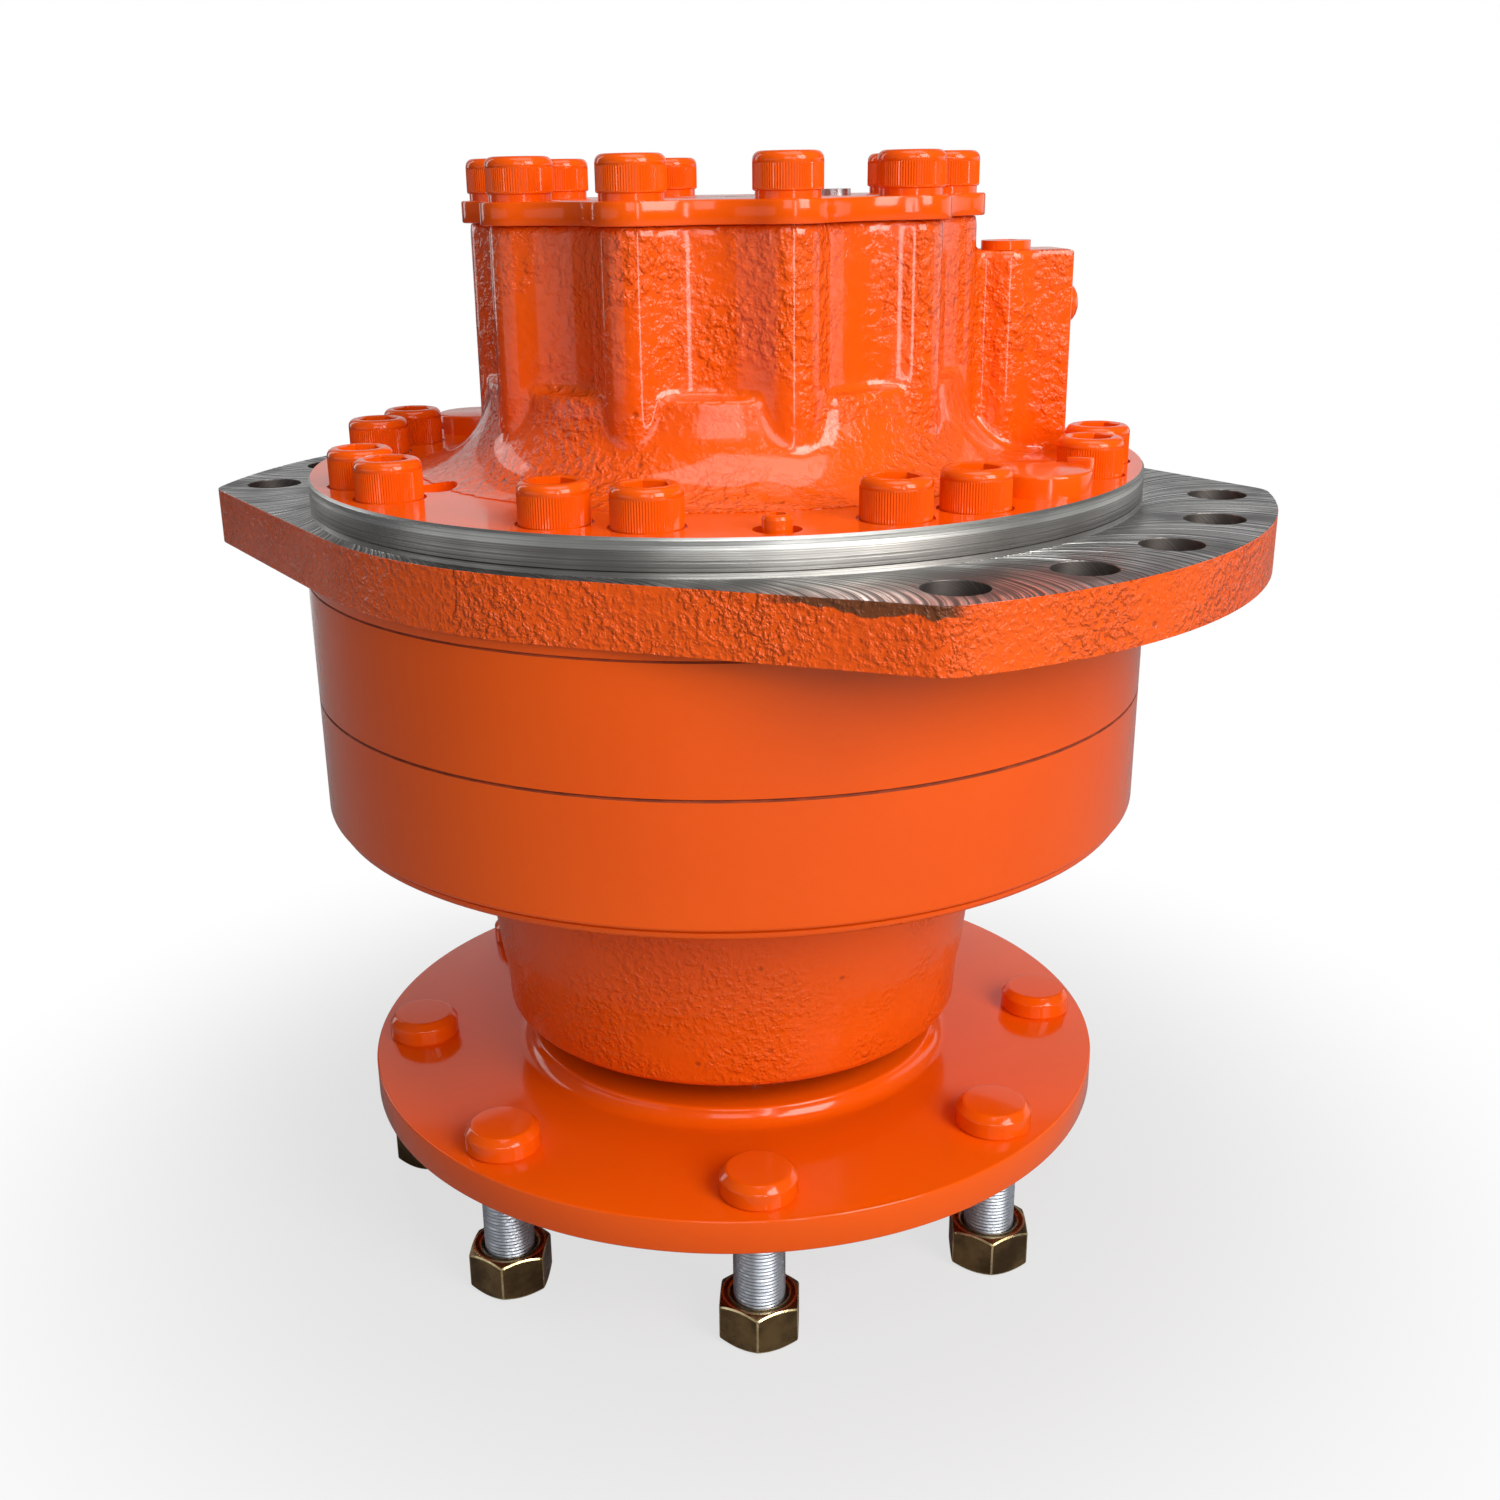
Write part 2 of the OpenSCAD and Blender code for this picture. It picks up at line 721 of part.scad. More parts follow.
// Outline of the chassis flange: a round waist and two lugs with straight flanks, whose
// corners are rounded by arcs that touch both the flank and the lug's outer arc
module flange_outline() {
    lug_r = flange_lug_d / 2;
    waist_r = flange_waist_d / 2;
    touch = lug_half_angle + acos(waist_r / lug_r);
    centre_r = lug_r - lug_corner_r;
    meet = touch - acos((waist_r - lug_corner_r) / centre_r);
    far = 1.3 * lug_r;
    steps = 6;
    corner = [for (k = [0 : steps])
        let (a = meet + (touch - meet) * k / steps)
        [centre_r * cos(meet) + lug_corner_r * cos(a), centre_r * sin(meet) + lug_corner_r * sin(a)]];
    circle(r = waist_r, $fn = 180);
    for (turn = [0, 180])
        rotate(turn)
            intersection() {
                circle(r = lug_r, $fn = 180);
                polygon(concat(
                    [[0, 0], [waist_r * cos(touch), -waist_r * sin(touch)]],
                    [for (k = [0 : steps]) [corner[steps - k][0], -corner[steps - k][1]]],
                    [[far * cos(meet), -far * sin(meet)], [far * cos(meet), far * sin(meet)]],
                    corner,
                    [[waist_r * cos(touch), waist_r * sin(touch)]]
                ));
            }
}

module chassis_flange() {
    bore_r = sleeve_r + 6;
    color(paint)
        difference() {
            union() {
                translate([0, 0, plate_z])
                    linear_extrude(flange_t)
                        flange_outline();
                translate([0, 0, cam_top])
                    cylinder(r1 = body_r - 0.2, r2 = body_r + 0.2, h = 0.4, $fn = 180);
                translate([0, 0, cam_top + 0.4])
                    cylinder(r = body_r + 0.2, h = flange_seat_h, $fn = 180);
                translate([0, 0, flange_top - 1])
                    cylinder(r = chassis_pilot_d / 2, h = pilot_step_h + 1, $fn = 180);
            }
            translate([0, 0, cam_top - 1])
                cylinder(r = bore_r, h = flange_seat_h + flange_t + pilot_step_h + 2);
            at_cover_screws()
                translate([0, 0, cam_top - 1])
                    cylinder(r = screw_hole_r, h = flange_seat_h + flange_t + pilot_step_h + 2);
            at_chassis_holes()
                translate([0, 0, cam_top - 1])
                    cylinder(r = chassis_hole_d / 2, h = flange_seat_h + flange_t + 2);
            face_groove(seam_ring_r, 4, cam_top - 1, seam_ring_h);
            face_groove(seam_ring_r, 4, cover_z - seam_ring_h, seam_ring_h);
        }
}

// Rubber rings in the three joints of the case
module case_o_rings() {
    section = seam_ring_h / 2 - press_gap;
    color(rubber_black) {
        o_ring(seam_ring_r, section, seam_z - seam_ring_h / 2);
        o_ring(seam_ring_r, section - 0.5, cam_top + seam_ring_h / 2 - 0.5);
        o_ring(seam_ring_r, section, cover_z - seam_ring_h / 2);
    }
}

// Solid shape of the cover before anything is bored
module cover_outside() {
    pilot_r = chassis_pilot_d / 2;
    column_h = tower_top - cover_z;
    translate([0, 0, cover_z])
        rotate_extrude($fn = 180)
            polygon([
                [0, 0], [pilot_r - 0.4, 0], [pilot_r, 0.4], [pilot_r, cover_flange_t - 0.8],
                [pilot_r - 0.8, cover_flange_t], [0, cover_flange_t]
            ]);
    translate([0, 0, cover_z])
        linear_extrude(column_h)
            lobed_outline(top_screw_count, top_screw_r, column_r, tower_fillet_r);
    cover_flare();
    translate([0, 0, sleeve_z])
        cylinder(r = sleeve_r, h = cover_z - sleeve_z + 1);
    drain_lug();
    port_block();
}

// Hollow skirt that spreads the tower's foot over the flange
module cover_flare() {
    root_r = flare_out_r - flare_r;
    translate([0, 0, cover_flange_top])
        rotate_extrude()
            polygon(concat(
                [[root_r - 30, -1], [flare_out_r, -1]],
                [for (k = [0 : 10])
                    [flare_out_r - flare_r * sin(k * 9), flare_r * (1 - cos(k * 9))]],
                [[root_r - 30, flare_r]]
            ));
}

// Narrow lug with the case drain port, between two pairs of screws
module drain_lug() {
    boss_r = 12;
    lug_z = cover_flange_top - 1;
    rotate(lug_turn) {
        translate([lug_reach - 75, -lug_half_w, lug_z])
            cube([75, 2 * lug_half_w, lug_top - lug_z]);
        translate([lug_boss_at, lug_boss_side, lug_z])
            cylinder(r = boss_r, h = lug_top - lug_z);
    }
}

// Block with the two main ports, clear of the screw heads below it
module port_block() {
    rotate(port_turn) {
        translate([port_block_reach - 86, 0, port_block_z])
            linear_extrude(port_block_h)
                port_block_outline();
        translate([port_block_reach - 86, -port_neck_w / 2, cover_flange_top - 1])
            cube([78, port_neck_w, port_block_z - cover_flange_top + 2]);
    }
}

// The block's upright outer corners are rounded
module port_block_outline() {
    corner_r = 4;
    half = port_block_w / 2;
    translate([0, -half])
        square([86 - corner_r, port_block_w]);
    translate([0, corner_r - half])
        square([86, port_block_w - 2 * corner_r]);
    for (side = [-1, 1])
        translate([86 - corner_r, side * (half - corner_r)])
            circle(r = corner_r, $fn = 48);
}

// Round bosses on the flange, with a small upright tab beside the first
boss_d = 36;
boss_h = 8;
boss_at = cover_screw_r - 4;
module flange_bosses() {
    for (turn = [0, 180])
        rotate(turn)
            translate([boss_at, 0, cover_flange_top - 1])
                cylinder(r = boss_d / 2, h = boss_h + 1);
    rotate(6.5)
        translate([boss_at + 3, -2, cover_flange_top - 1])
            cube([9, 4, boss_h + 3]);
}

small_screw_turn = -45;
small_screw_at = cover_screw_r + 5.8;
recess_turn = -110;
recess_at = cover_screw_r - 20.5;
main_port_z = port_block_z + port_block_h / 2;
drain_port_z = lug_top - 21;
brake_port_turn = 198;
brake_port_z = tower_top - 30;
brake_boss_r = 13;
brake_boss_out = top_screw_r + 10.8;

module cover() {
    color(paint)
        difference() {
            union() {
                cover_outside();
                flange_bosses();
                rotate(brake_port_turn)
                    translate([top_screw_r - 25, 0, brake_port_z])
                        rotate([0, 90, 0])
                            cylinder(r = brake_boss_r, h = brake_boss_out - top_screw_r + 25);
            }
            cover_bores();
            at_cover_screws() {
                translate([0, 0, sleeve_z])
                    cylinder(r = screw_hole_r, h = cover_flange_top);
                translate([0, 0, cover_flange_top - spot_depth])
                    cylinder(r = head_r + 1, h = 19);
            }
            at_top_screws()
                translate([0, 0, tower_top - top_thread_depth])
                    cylinder(r = screw_d / 2 + press_gap, h = top_thread_depth + 1);
            rotate(small_screw_turn)
                translate([small_screw_at, 0, 0]) {
                    translate([0, 0, cover_flange_top - 3])
                        cylinder(r = 8, h = 10);
                    translate([0, 0, cover_z - 1])
                        cylinder(r = 3 + press_gap, h = 20);
                }
            rotate(recess_turn)
                translate([recess_at, 0, cover_flange_top - 3])
                    cylinder(r = 9, h = 20);
            main_ports();
            drain_port();
            brake_port();
        }
}

// Stepped bore for the distributor, and the brake chamber above it
module cover_bores() {
    floor_z = cover_flange_top + 18;
    translate([0, 0, sleeve_z - 1])
        cylinder(r = distributor_r + run_gap, h = mid_z - sleeve_z + 1);
    translate([0, 0, mid_z - 1])
        cylinder(r = distributor_r - 6 + run_gap, h = floor_z - mid_z + 1);
    translate([0, 0, floor_z - 1])
        cylinder(r = brake_shaft_r + 4, h = brake_z - floor_z + 2);
    translate([0, 0, brake_z])
        cylinder(r = brake_bore_d / 2, h = tower_top - brake_z + 1);
    for (i = [0 : outer_tab_count - 1])
        rotate(ring_angle(i + 0.5, outer_tab_count))
            translate([brake_bore_d / 2 - 6, -tab_w / 2 - 0.2, brake_z])
                cube([6 + tab_reach + 0.3, tab_w + 0.4, stack_h + 2]);
}
mid_z = cover_z + 6;
outer_tab_count = top_screw_count;
tab_w = 12;
tab_reach = 3.5;

module main_ports() {
    for (side = [-1, 1])
        rotate(port_turn)
            translate([port_block_reach + 1, side * main_port_gap / 2, main_port_z])
                rotate([0, -90, 0]) {
                    cylinder(r = main_port_d / 2, h = main_port_depth + 1);
                    cylinder(r = 12, h = main_port_depth + 12);
                    cylinder(r = main_port_d / 2 + 6, h = 2);
                }
}

module drain_port() {
    rotate(lug_turn) {
        translate([lug_reach + 1, 0, drain_port_z])
            rotate([0, -90, 0])
                cylinder(r = drain_port_d / 2, h = 15);
        translate([lug_boss_at, lug_boss_side, lug_top - 12])
            cylinder(r = passage_r + press_gap, h = 14);
    }
}
passage_r = 6.5;

module brake_port() {
    rotate(brake_port_turn)
        translate([brake_boss_out + 1, 0, brake_port_z])
            rotate([0, -90, 0]) {
                cylinder(r = brake_port_d / 2, h = 14);
                cylinder(r = 2.5, h = brake_boss_out - brake_bore_d / 2 + 2);
            }
}

module cover_screws() {
    len = cover_flange_top - spot_depth - (seam_z - cover_thread_depth) - 2;
    color(paint)
        at_cover_screws()
            translate([0, 0, cover_flange_top - spot_depth])
                socket_screw(screw_d, len, head_r, head_h);
}

module cover_small_screw() {
    color(paint)
        rotate(small_screw_turn)
            translate([small_screw_at, 0, cover_flange_top - 3])
                socket_screw(6, cover_flange_t - 3, 5, 8);
}

// Fixed valve plate, pressed against the block's upper face
module distributor() {
    kidney_r = 4.2;
    color(dark_steel)
        difference() {
            rotate_extrude()
                polygon([
                    [brake_shaft_r + 4, distributor_z], [distributor_r - 1, distributor_z],
                    [distributor_r, distributor_z + 1],
                    [distributor_r, ring_1_z - 2], [distributor_r - 3, ring_1_z - 2],
                    [distributor_r - 3, ring_1_z + 2], [distributor_r, ring_1_z + 2],
                    [distributor_r, mid_z - 2], [distributor_r - 6, mid_z - 2],
                    [distributor_r - 6, ring_2_z - 2], [distributor_r - 9, ring_2_z - 2],
                    [distributor_r - 9, ring_2_z + 2], [distributor_r - 6, ring_2_z + 2],
                    [distributor_r - 6, distributor_top], [brake_shaft_r + 4, distributor_top]
                ]);
            for (i = [0 : 2 * lobe_count - 1])
                rotate(ring_angle(i + 0.5, 2 * lobe_count))
                    translate([feed_at, 0, distributor_z - 1])
                        cylinder(r = kidney_r, h = 16);
            at_springs()
                translate([0, 0, distributor_top - spring_pocket])
                    cylinder(r = spring_r + 2, h = spring_pocket + 1);
        }
}
ring_1_z = sleeve_z + 8;
ring_2_z = mid_z + 8;
distributor_top = cover_flange_top + 14;
spring_count = 6;
spring_r = 4;
spring_pocket = 10;

module at_springs() {
    for (i = [0 : spring_count - 1])
        rotate(ring_angle(i, spring_count))
            translate([distributor_r - 30, 0, 0])
                children();
}

module distributor_rings() {
    color(rubber_black) {
        ring(distributor_r, distributor_r - 2.6, ring_1_z - 1.6, 3.2);
        ring(distributor_r - 6, distributor_r - 8.6, ring_2_z - 1.6, 3.2);
    }
}

// Coil spring made of one wire, swept along a helix
module coil_spring(r, wire_r, height, turns) {
    sides = 6;
    per_turn = 14;
    n = turns * per_turn;
    rise = height - 2 * wire_r;
    points = [for (i = [0 : n], k = [0 : sides - 1])
        let (a = 360 / per_turn * i, b = 360 / sides * k, rr = r + wire_r * cos(b))
        [rr * cos(a), rr * sin(a), wire_r + rise * i / n + wire_r * sin(b)]];
    walls = [for (i = [0 : n - 1], k = [0 : sides - 1])
        let (m = (k + 1) % sides)
        [i * sides + k, (i + 1) * sides + k, (i + 1) * sides + m, i * sides + m]];
    ends = [[for (k = [0 : sides - 1]) k], [for (k = [sides - 1 : -1 : 0]) n * sides + k]];
    polyhedron(points, concat(walls, ends));
}

module distributor_springs() {
    color(steel)
        at_springs()
            translate([0, 0, distributor_top - spring_pocket])
                coil_spring(spring_r, 0.8, cover_flange_top + 17 - distributor_top + spring_pocket, 4);
}

// Shaft from the cylinder block to the brake discs
module brake_shaft() {
    top_z = brake_z + stack_h + 2;
    color(steel) {
        translate([0, 0, block_z + 28])
            rotate_extrude()
                polygon([
                    [0, 0], [spline_core_r, 0], [spline_core_r, block_h - 34],
                    [brake_shaft_r, block_h - 29], [brake_shaft_r, brake_z - block_z - 26],
                    [0, brake_z - block_z - 26]
                ]);
        spline(block_z + 28, block_h - 34, spline_r);
        spline(brake_z + 2 - eps, top_z - brake_z - 2, brake_spline_r);
    }
}
brake_spline_r = brake_bore_d / 2 - 37;

// Stack of the brake: fixed and turning discs by turns
disc_pitch = brake_disc_t + face_gap;
stack_h = (2 * brake_disc_count + 1) * disc_pitch;

module brake_inner_discs() {
    out_r = brake_bore_d / 2 - 8;
    color(friction_brown)
        for (i = [0 : brake_disc_count - 1])
            difference() {
                ring(out_r, brake_spline_r - 6, brake_z + (2 * i + 1) * disc_pitch + face_gap,
                    brake_disc_t);
                spline(brake_z, stack_h + 4, brake_spline_r, 0.15);
            }
}

module brake_outer_discs() {
    out_r = brake_bore_d / 2 - 0.3;
    in_r = brake_spline_r + 8;
    color(dark_steel)
        for (i = [0 : brake_disc_count])
            translate([0, 0, brake_z + 2 * i * disc_pitch + (i == 0 ? 0 : face_gap)])
                difference() {
                    union() {
                        cylinder(r = out_r, h = brake_disc_t);
                        for (k = [0 : outer_tab_count - 1])
                            rotate(ring_angle(k + 0.5, outer_tab_count))
                                translate([out_r - 5, -tab_w / 2, 0])
                                    cube([5 + tab_reach, tab_w, brake_disc_t]);
                    }
                    translate([0, 0, -1])
                        cylinder(r = in_r, h = brake_disc_t + 2);
                }
}

// Ring piston: springs press it down on the discs, oil lifts it
piston_z = brake_z + stack_h + 2 * face_gap;
brake_piston_h = 20;
piston_seat_h = 14;
module brake_piston() {
    r = brake_bore_d / 2 - run_gap;
    color(steel)
        translate([0, 0, piston_z])
            rotate_extrude()
                polygon([
                    [brake_spline_r + 4, 6], [brake_spline_r + 10, 0], [r - 6, 0], [r - 6, 5], [r, 5],
                    [r, 9], [r - 3, 9], [r - 3, 13], [r, 13], [r, brake_piston_h],
                    [r - 14, brake_piston_h], [r - 14, piston_seat_h], [brake_spline_r + 4, piston_seat_h]
                ]);
}

module brake_piston_rings() {
    r = brake_bore_d / 2 - run_gap;
    color(rubber_black)
        ring(r, r - 2.6, piston_z + 9.4, 3.2);
}

// Two disc springs, wide edges together
spring_top = tower_top;
module brake_springs() {
    low_z = piston_z + piston_seat_h;
    t = 2;
    mid_low = (low_z + spring_top) / 2 - face_gap / 4;
    mid_high = mid_low + face_gap / 2;
    in_r = brake_spline_r + 6;
    out_r = brake_bore_d / 2 - 16;
    color(dark_steel) {
        rotate_extrude()
            polygon([[in_r, low_z], [in_r + 1, low_z], [out_r, mid_low - t],
                [out_r, mid_low], [out_r - 1, mid_low], [in_r, low_z + t]]);
        rotate_extrude()
            polygon([[in_r, spring_top - t], [out_r - 1, mid_high], [out_r, mid_high],
                [out_r, mid_high + t], [in_r + 1, spring_top], [in_r, spring_top]]);
    }
}

// Scalloped plate that closes the brake
module top_plate() {
    color(paint)
        difference() {
            translate([0, 0, tower_top])
                linear_extrude(plate_t)
                    lobed_outline(top_screw_count, top_screw_r, plate_lobe_r, tower_fillet_r);
            at_top_screws()
                translate([0, 0, tower_top - 1])
                    cylinder(r = screw_hole_r, h = plate_t + 2);
            translate([0, 0, tower_top - 1])
                cylinder(r = release_r + press_gap, h = plate_t + 2);
            bleed_place()
                translate([0, 0, tower_top + 1])
                    cylinder(r = bleed_r + press_gap, h = plate_t);
        }
}
release_r = 15;
bleed_r = 5;
module bleed_place() {
    rotate(36)
        translate([42, 0, 0])
            children();
}

module top_screws() {
    color(paint)
        at_top_screws()
            translate([0, 0, plate_top])
                socket_screw(screw_d, plate_t + top_thread_depth - 2, head_r, head_h + 1, 2.4);
}

// Plug that gives way to the tool for releasing the brake by hand
module release_plug() {
    color(steel)
        difference() {
            translate([0, 0, tower_top + 0.5])
                cylinder(r = release_r, h = plate_t - 0.5);
            translate([0, 0, plate_top - 5])
                cylinder(r = 7 / cos(30), h = 6, $fn = 6);
        }
}

// Small bare plug that stands a little above the plate
module plate_plug() {
    color(steel)
        bleed_place()
            difference() {
                union() {
                    translate([0, 0, tower_top + 1.5])
                        cylinder(r = bleed_r, h = plate_t - 1.5);
                    translate([0, 0, plate_top])
                        cylinder(r = bleed_r + 2, h = 2.2);
                }
                translate([0, 0, plate_top - 2])
                    cylinder(r = 3 / cos(30), h = 6, $fn = 6);
            }
}

// Domed plug in the end of the lug
module drain_plug() {
    dome_r = 7.4;
    color(paint)
        rotate(lug_turn)
            translate([lug_reach, 0, drain_port_z])
                rotate([0, 90, 0])
                    rotate_extrude()
                        polygon(concat(
                            [[0, -12], [drain_port_d / 2 - press_gap - 1, -12],
                             [drain_port_d / 2 - press_gap, -11], [drain_port_d / 2 - press_gap, 0],
                             [dome_r, 0], [dome_r, 2]],
                            [for (k = [1 : 6]) [dome_r * cos(k * 15), 2 + 4 * sin(k * 15)]]
                        ));
}

// Plug that closes the drilled passage in the lug
module passage_plug() {
    cap_r = 9.5;
    cap_h = 3.4;
    color(paint)
        rotate(lug_turn)
            translate([lug_boss_at, lug_boss_side, lug_top])
                difference() {
                    union() {
                        translate([0, 0, -10])
                            cylinder(r = passage_r, h = 10);
                        cylinder(r = cap_r, h = cap_h);
                    }
                    translate([0, 0, -2])
                        cylinder(r = 4 / cos(30), h = 8, $fn = 6);
                }
}

wheel_shaft();
wheel_studs();
wheel_nuts();
bearing_housing();
shaft_seal();
shaft_seal_spring();
place_front() bearing_cup(front_bore, front_od, front_w);  // front_bearing_cup
place_front() bearing_cone(front_bore, front_od, front_w);  // front_bearing_cone
place_front() bearing_rollers(front_bore, front_od, front_w);  // front_bearing_rollers
place_rear() bearing_cup(rear_bore, rear_od, rear_w);  // rear_bearing_cup
place_rear() bearing_cone(rear_bore, rear_od, rear_w);  // rear_bearing_cone
place_rear() bearing_rollers(rear_bore, rear_od, rear_w);  // rear_bearing_rollers
bearing_nut();
cam_ring();
cylinder_block();
piston(0);  // piston_1
piston(1);  // piston_2
piston(2);  // piston_3
piston(3);  // piston_4
piston(4);  // piston_5
piston(5);  // piston_6
piston(6);  // piston_7
piston(7);  // piston_8
cam_roller(0);  // cam_roller_1
cam_roller(1);  // cam_roller_2
cam_roller(2);  // cam_roller_3
cam_roller(3);  // cam_roller_4
cam_roller(4);  // cam_roller_5
cam_roller(5);  // cam_roller_6
cam_roller(6);  // cam_roller_7
cam_roller(7);  // cam_roller_8
chassis_flange();
cover();
cover_screws();
cover_small_screw();
case_o_rings();
distributor();
distributor_rings();
distributor_springs();
brake_shaft();
brake_inner_discs();
brake_outer_discs();
brake_piston();
brake_piston_rings();
brake_springs();
top_plate();
top_screws();
release_plug();
plate_plug();
drain_plug();
passage_plug();
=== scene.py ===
# %% [markdown]
# # Dressing a hydraulic wheel motor
# A wheel motor is a heavy casting with a few turned faces: glossy orange paint almost
# everywhere, bare steel where it bolts to a machine, and eight studs with nuts where the
# wheel goes. The engineering model gives every piece its place and size. This lesson gives
# each piece that shows the edges, skin and finish of the real one.
#
# We start by loading that model. Its pieces stay where they are, and whatever we model
# rides on one of its bodies, so it turns and slides with it.

# %% The frame and the words we use
import math
import random

import bpy
from mathutils import Matrix, Vector


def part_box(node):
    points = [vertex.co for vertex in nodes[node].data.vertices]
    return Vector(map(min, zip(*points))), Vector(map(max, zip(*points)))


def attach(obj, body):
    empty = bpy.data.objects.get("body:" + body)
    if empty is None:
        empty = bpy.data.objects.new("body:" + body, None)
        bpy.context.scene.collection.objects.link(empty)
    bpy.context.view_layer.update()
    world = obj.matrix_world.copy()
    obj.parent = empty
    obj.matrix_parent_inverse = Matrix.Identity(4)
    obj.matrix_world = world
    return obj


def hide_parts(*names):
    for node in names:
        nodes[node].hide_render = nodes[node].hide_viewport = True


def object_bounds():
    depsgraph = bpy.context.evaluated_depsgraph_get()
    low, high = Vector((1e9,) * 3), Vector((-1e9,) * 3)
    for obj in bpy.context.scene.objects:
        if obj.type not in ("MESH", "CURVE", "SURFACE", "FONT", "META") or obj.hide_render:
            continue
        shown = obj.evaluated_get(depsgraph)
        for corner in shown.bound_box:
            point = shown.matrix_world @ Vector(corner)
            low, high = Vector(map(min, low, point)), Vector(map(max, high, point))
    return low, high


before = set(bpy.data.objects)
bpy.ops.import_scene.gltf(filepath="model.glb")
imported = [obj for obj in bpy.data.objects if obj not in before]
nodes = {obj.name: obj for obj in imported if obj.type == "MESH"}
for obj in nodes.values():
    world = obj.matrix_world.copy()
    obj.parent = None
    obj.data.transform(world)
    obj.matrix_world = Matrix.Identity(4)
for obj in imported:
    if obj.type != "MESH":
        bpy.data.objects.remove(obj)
cad_low, cad_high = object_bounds()
MM = 0.001
CASE, ROTOR = "motor_case", "wheel_rotor"
print("lowest and highest corner:", tuple(cad_low), tuple(cad_high))

# %% [markdown]
# ## Sizes that come from the frame
# Nearly every height is the top or bottom of a node, so we read it instead of typing it.
# Two heights lie inside a node: the flange's top is 2 mm below the seat of the cover, and the
# cover's own flange is 11 mm thick.

# %% Heights
def low_z(node):
    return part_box(node)[0].z


def high_z(node):
    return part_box(node)[1].z


seam_z = high_z("bearing_housing")
cam_top = high_z("cam_ring")
pilot_top = high_z("chassis_flange")
flange_top = pilot_top - 2 * MM
cover_z = pilot_top
cover_flange_top = cover_z + 11 * MM
tower_top = low_z("top_plate")
plate_top = high_z("top_plate")
print("seam, cam top, flange top, tower top:", seam_z, cam_top, flange_top, tower_top)

# %% [markdown]
# ## The camera
# The photograph was taken from a little above the flange, close enough for strong
# perspective. The place, the aim and the focal length were solved from the circles of the
# screws, the flange and the wheel disc, and are kept here as plain numbers.

# %% Camera
CAMERA_AT = Vector((0.4249, -0.5285, 0.3702))
HEADING, TILT, ROLL = (math.radians(a) for a in (-39.38, -19.81, -0.98))
FOCAL_MM = 40.42

forward = Vector((math.sin(HEADING) * math.cos(TILT), math.cos(HEADING) * math.cos(TILT),
                  math.sin(TILT)))
level = Vector((math.cos(HEADING), -math.sin(HEADING), 0))
upright = level.cross(forward)
right = math.cos(ROLL) * level + math.sin(ROLL) * upright
upward = -math.sin(ROLL) * level + math.cos(ROLL) * upright

bpy.ops.object.camera_add()
camera = bpy.context.object
camera.name = "portrait_camera"
camera.matrix_world = Matrix((
    (right.x, upward.x, -forward.x, CAMERA_AT.x),
    (right.y, upward.y, -forward.y, CAMERA_AT.y),
    (right.z, upward.z, -forward.z, CAMERA_AT.z),
    (0, 0, 0, 1),
))
camera.data.sensor_width = 36
camera.data.lens = FOCAL_MM
camera.data.shift_x = 0.0245
camera.data.shift_y = 0.0232
camera.data.clip_start = 0.05
camera.data.clip_end = 20
bpy.context.scene.camera = camera
bpy.context.scene.view_settings.view_transform = "Standard"
print("camera looks along", tuple(round(v, 3) for v in forward))

# %% [markdown]
# ## Light, floor and background
# Soft light from large panels brings out gloss without hard shadows: one tall window on the
# left, a wide one on the right, a ceiling panel and a weaker one in front. Each call gives a
# panel its name, place, width, height and watts. All of them face the middle of the motor.

# %% Lamps
AIM = Vector((0, 0, 0.19))


def soft_panel(name, place, width, height, watts, tint=(1, 1, 1)):
    bpy.ops.object.light_add(type="AREA", location=place)
    panel = bpy.context.object
    panel.name = name
    panel.rotation_euler = (AIM - Vector(place)).to_track_quat("-Z", "Y").to_euler()
    panel.data.shape = "RECTANGLE"
    panel.data.size, panel.data.size_y = width, height
    panel.data.energy = watts
    panel.data.color = tint
    panel.visible_camera = False
    return panel


soft_panel("window_left", (-1.4, -0.1, 0.75), 0.3, 1.2, 2.5)
soft_panel("window_right", (1.43, -0.25, 0.95), 0.7, 1.0, 21, (1, 0.98, 0.95))
soft_panel("ceiling_panel", (0.35, -0.15, 1.7), 1.1, 1.1, 10)
soft_panel("front_fill", (0.95, -1.25, 0.9), 0.6, 0.8, 4.5)

# %% [markdown]
# The upright surfaces of the tower mirror what stands low around the motor, and its flat
# tops mirror what stands behind it. Three dim cards and one narrow bright tube stand there.
# The last lamp lights the back and is left out of all reflections.

# %% Low cards
soft_panel("card_left", (-0.55, -1.5, 0.36), 1.5, 0.5, 1.6)
soft_panel("card_right", (0.75, 1.4, 0.36), 1.5, 0.5, 2.4)
soft_panel("card_back", (-1.15, 1.4, 0.75), 2.4, 1.2, 4.5)
soft_panel("tube", (1.15, -0.78, 0.5), 0.1, 0.8, 2.2)
soft_panel("back_fill", (-0.95, 0.9, 0.16), 1.1, 0.3, 8).visible_glossy = False

# %% [markdown]
# The background is white because the world and the floor are white to the camera, not
# because there is more light on the motor. For all other rays the world is a dim, cool sky,
# and glossy rays see a small share of the white wall in it.

# %% World
SKY_COLOUR, SKY_STRENGTH = (0.86, 0.9, 1, 1), 0.07
WHITE_IN_GLOSS = 0.05

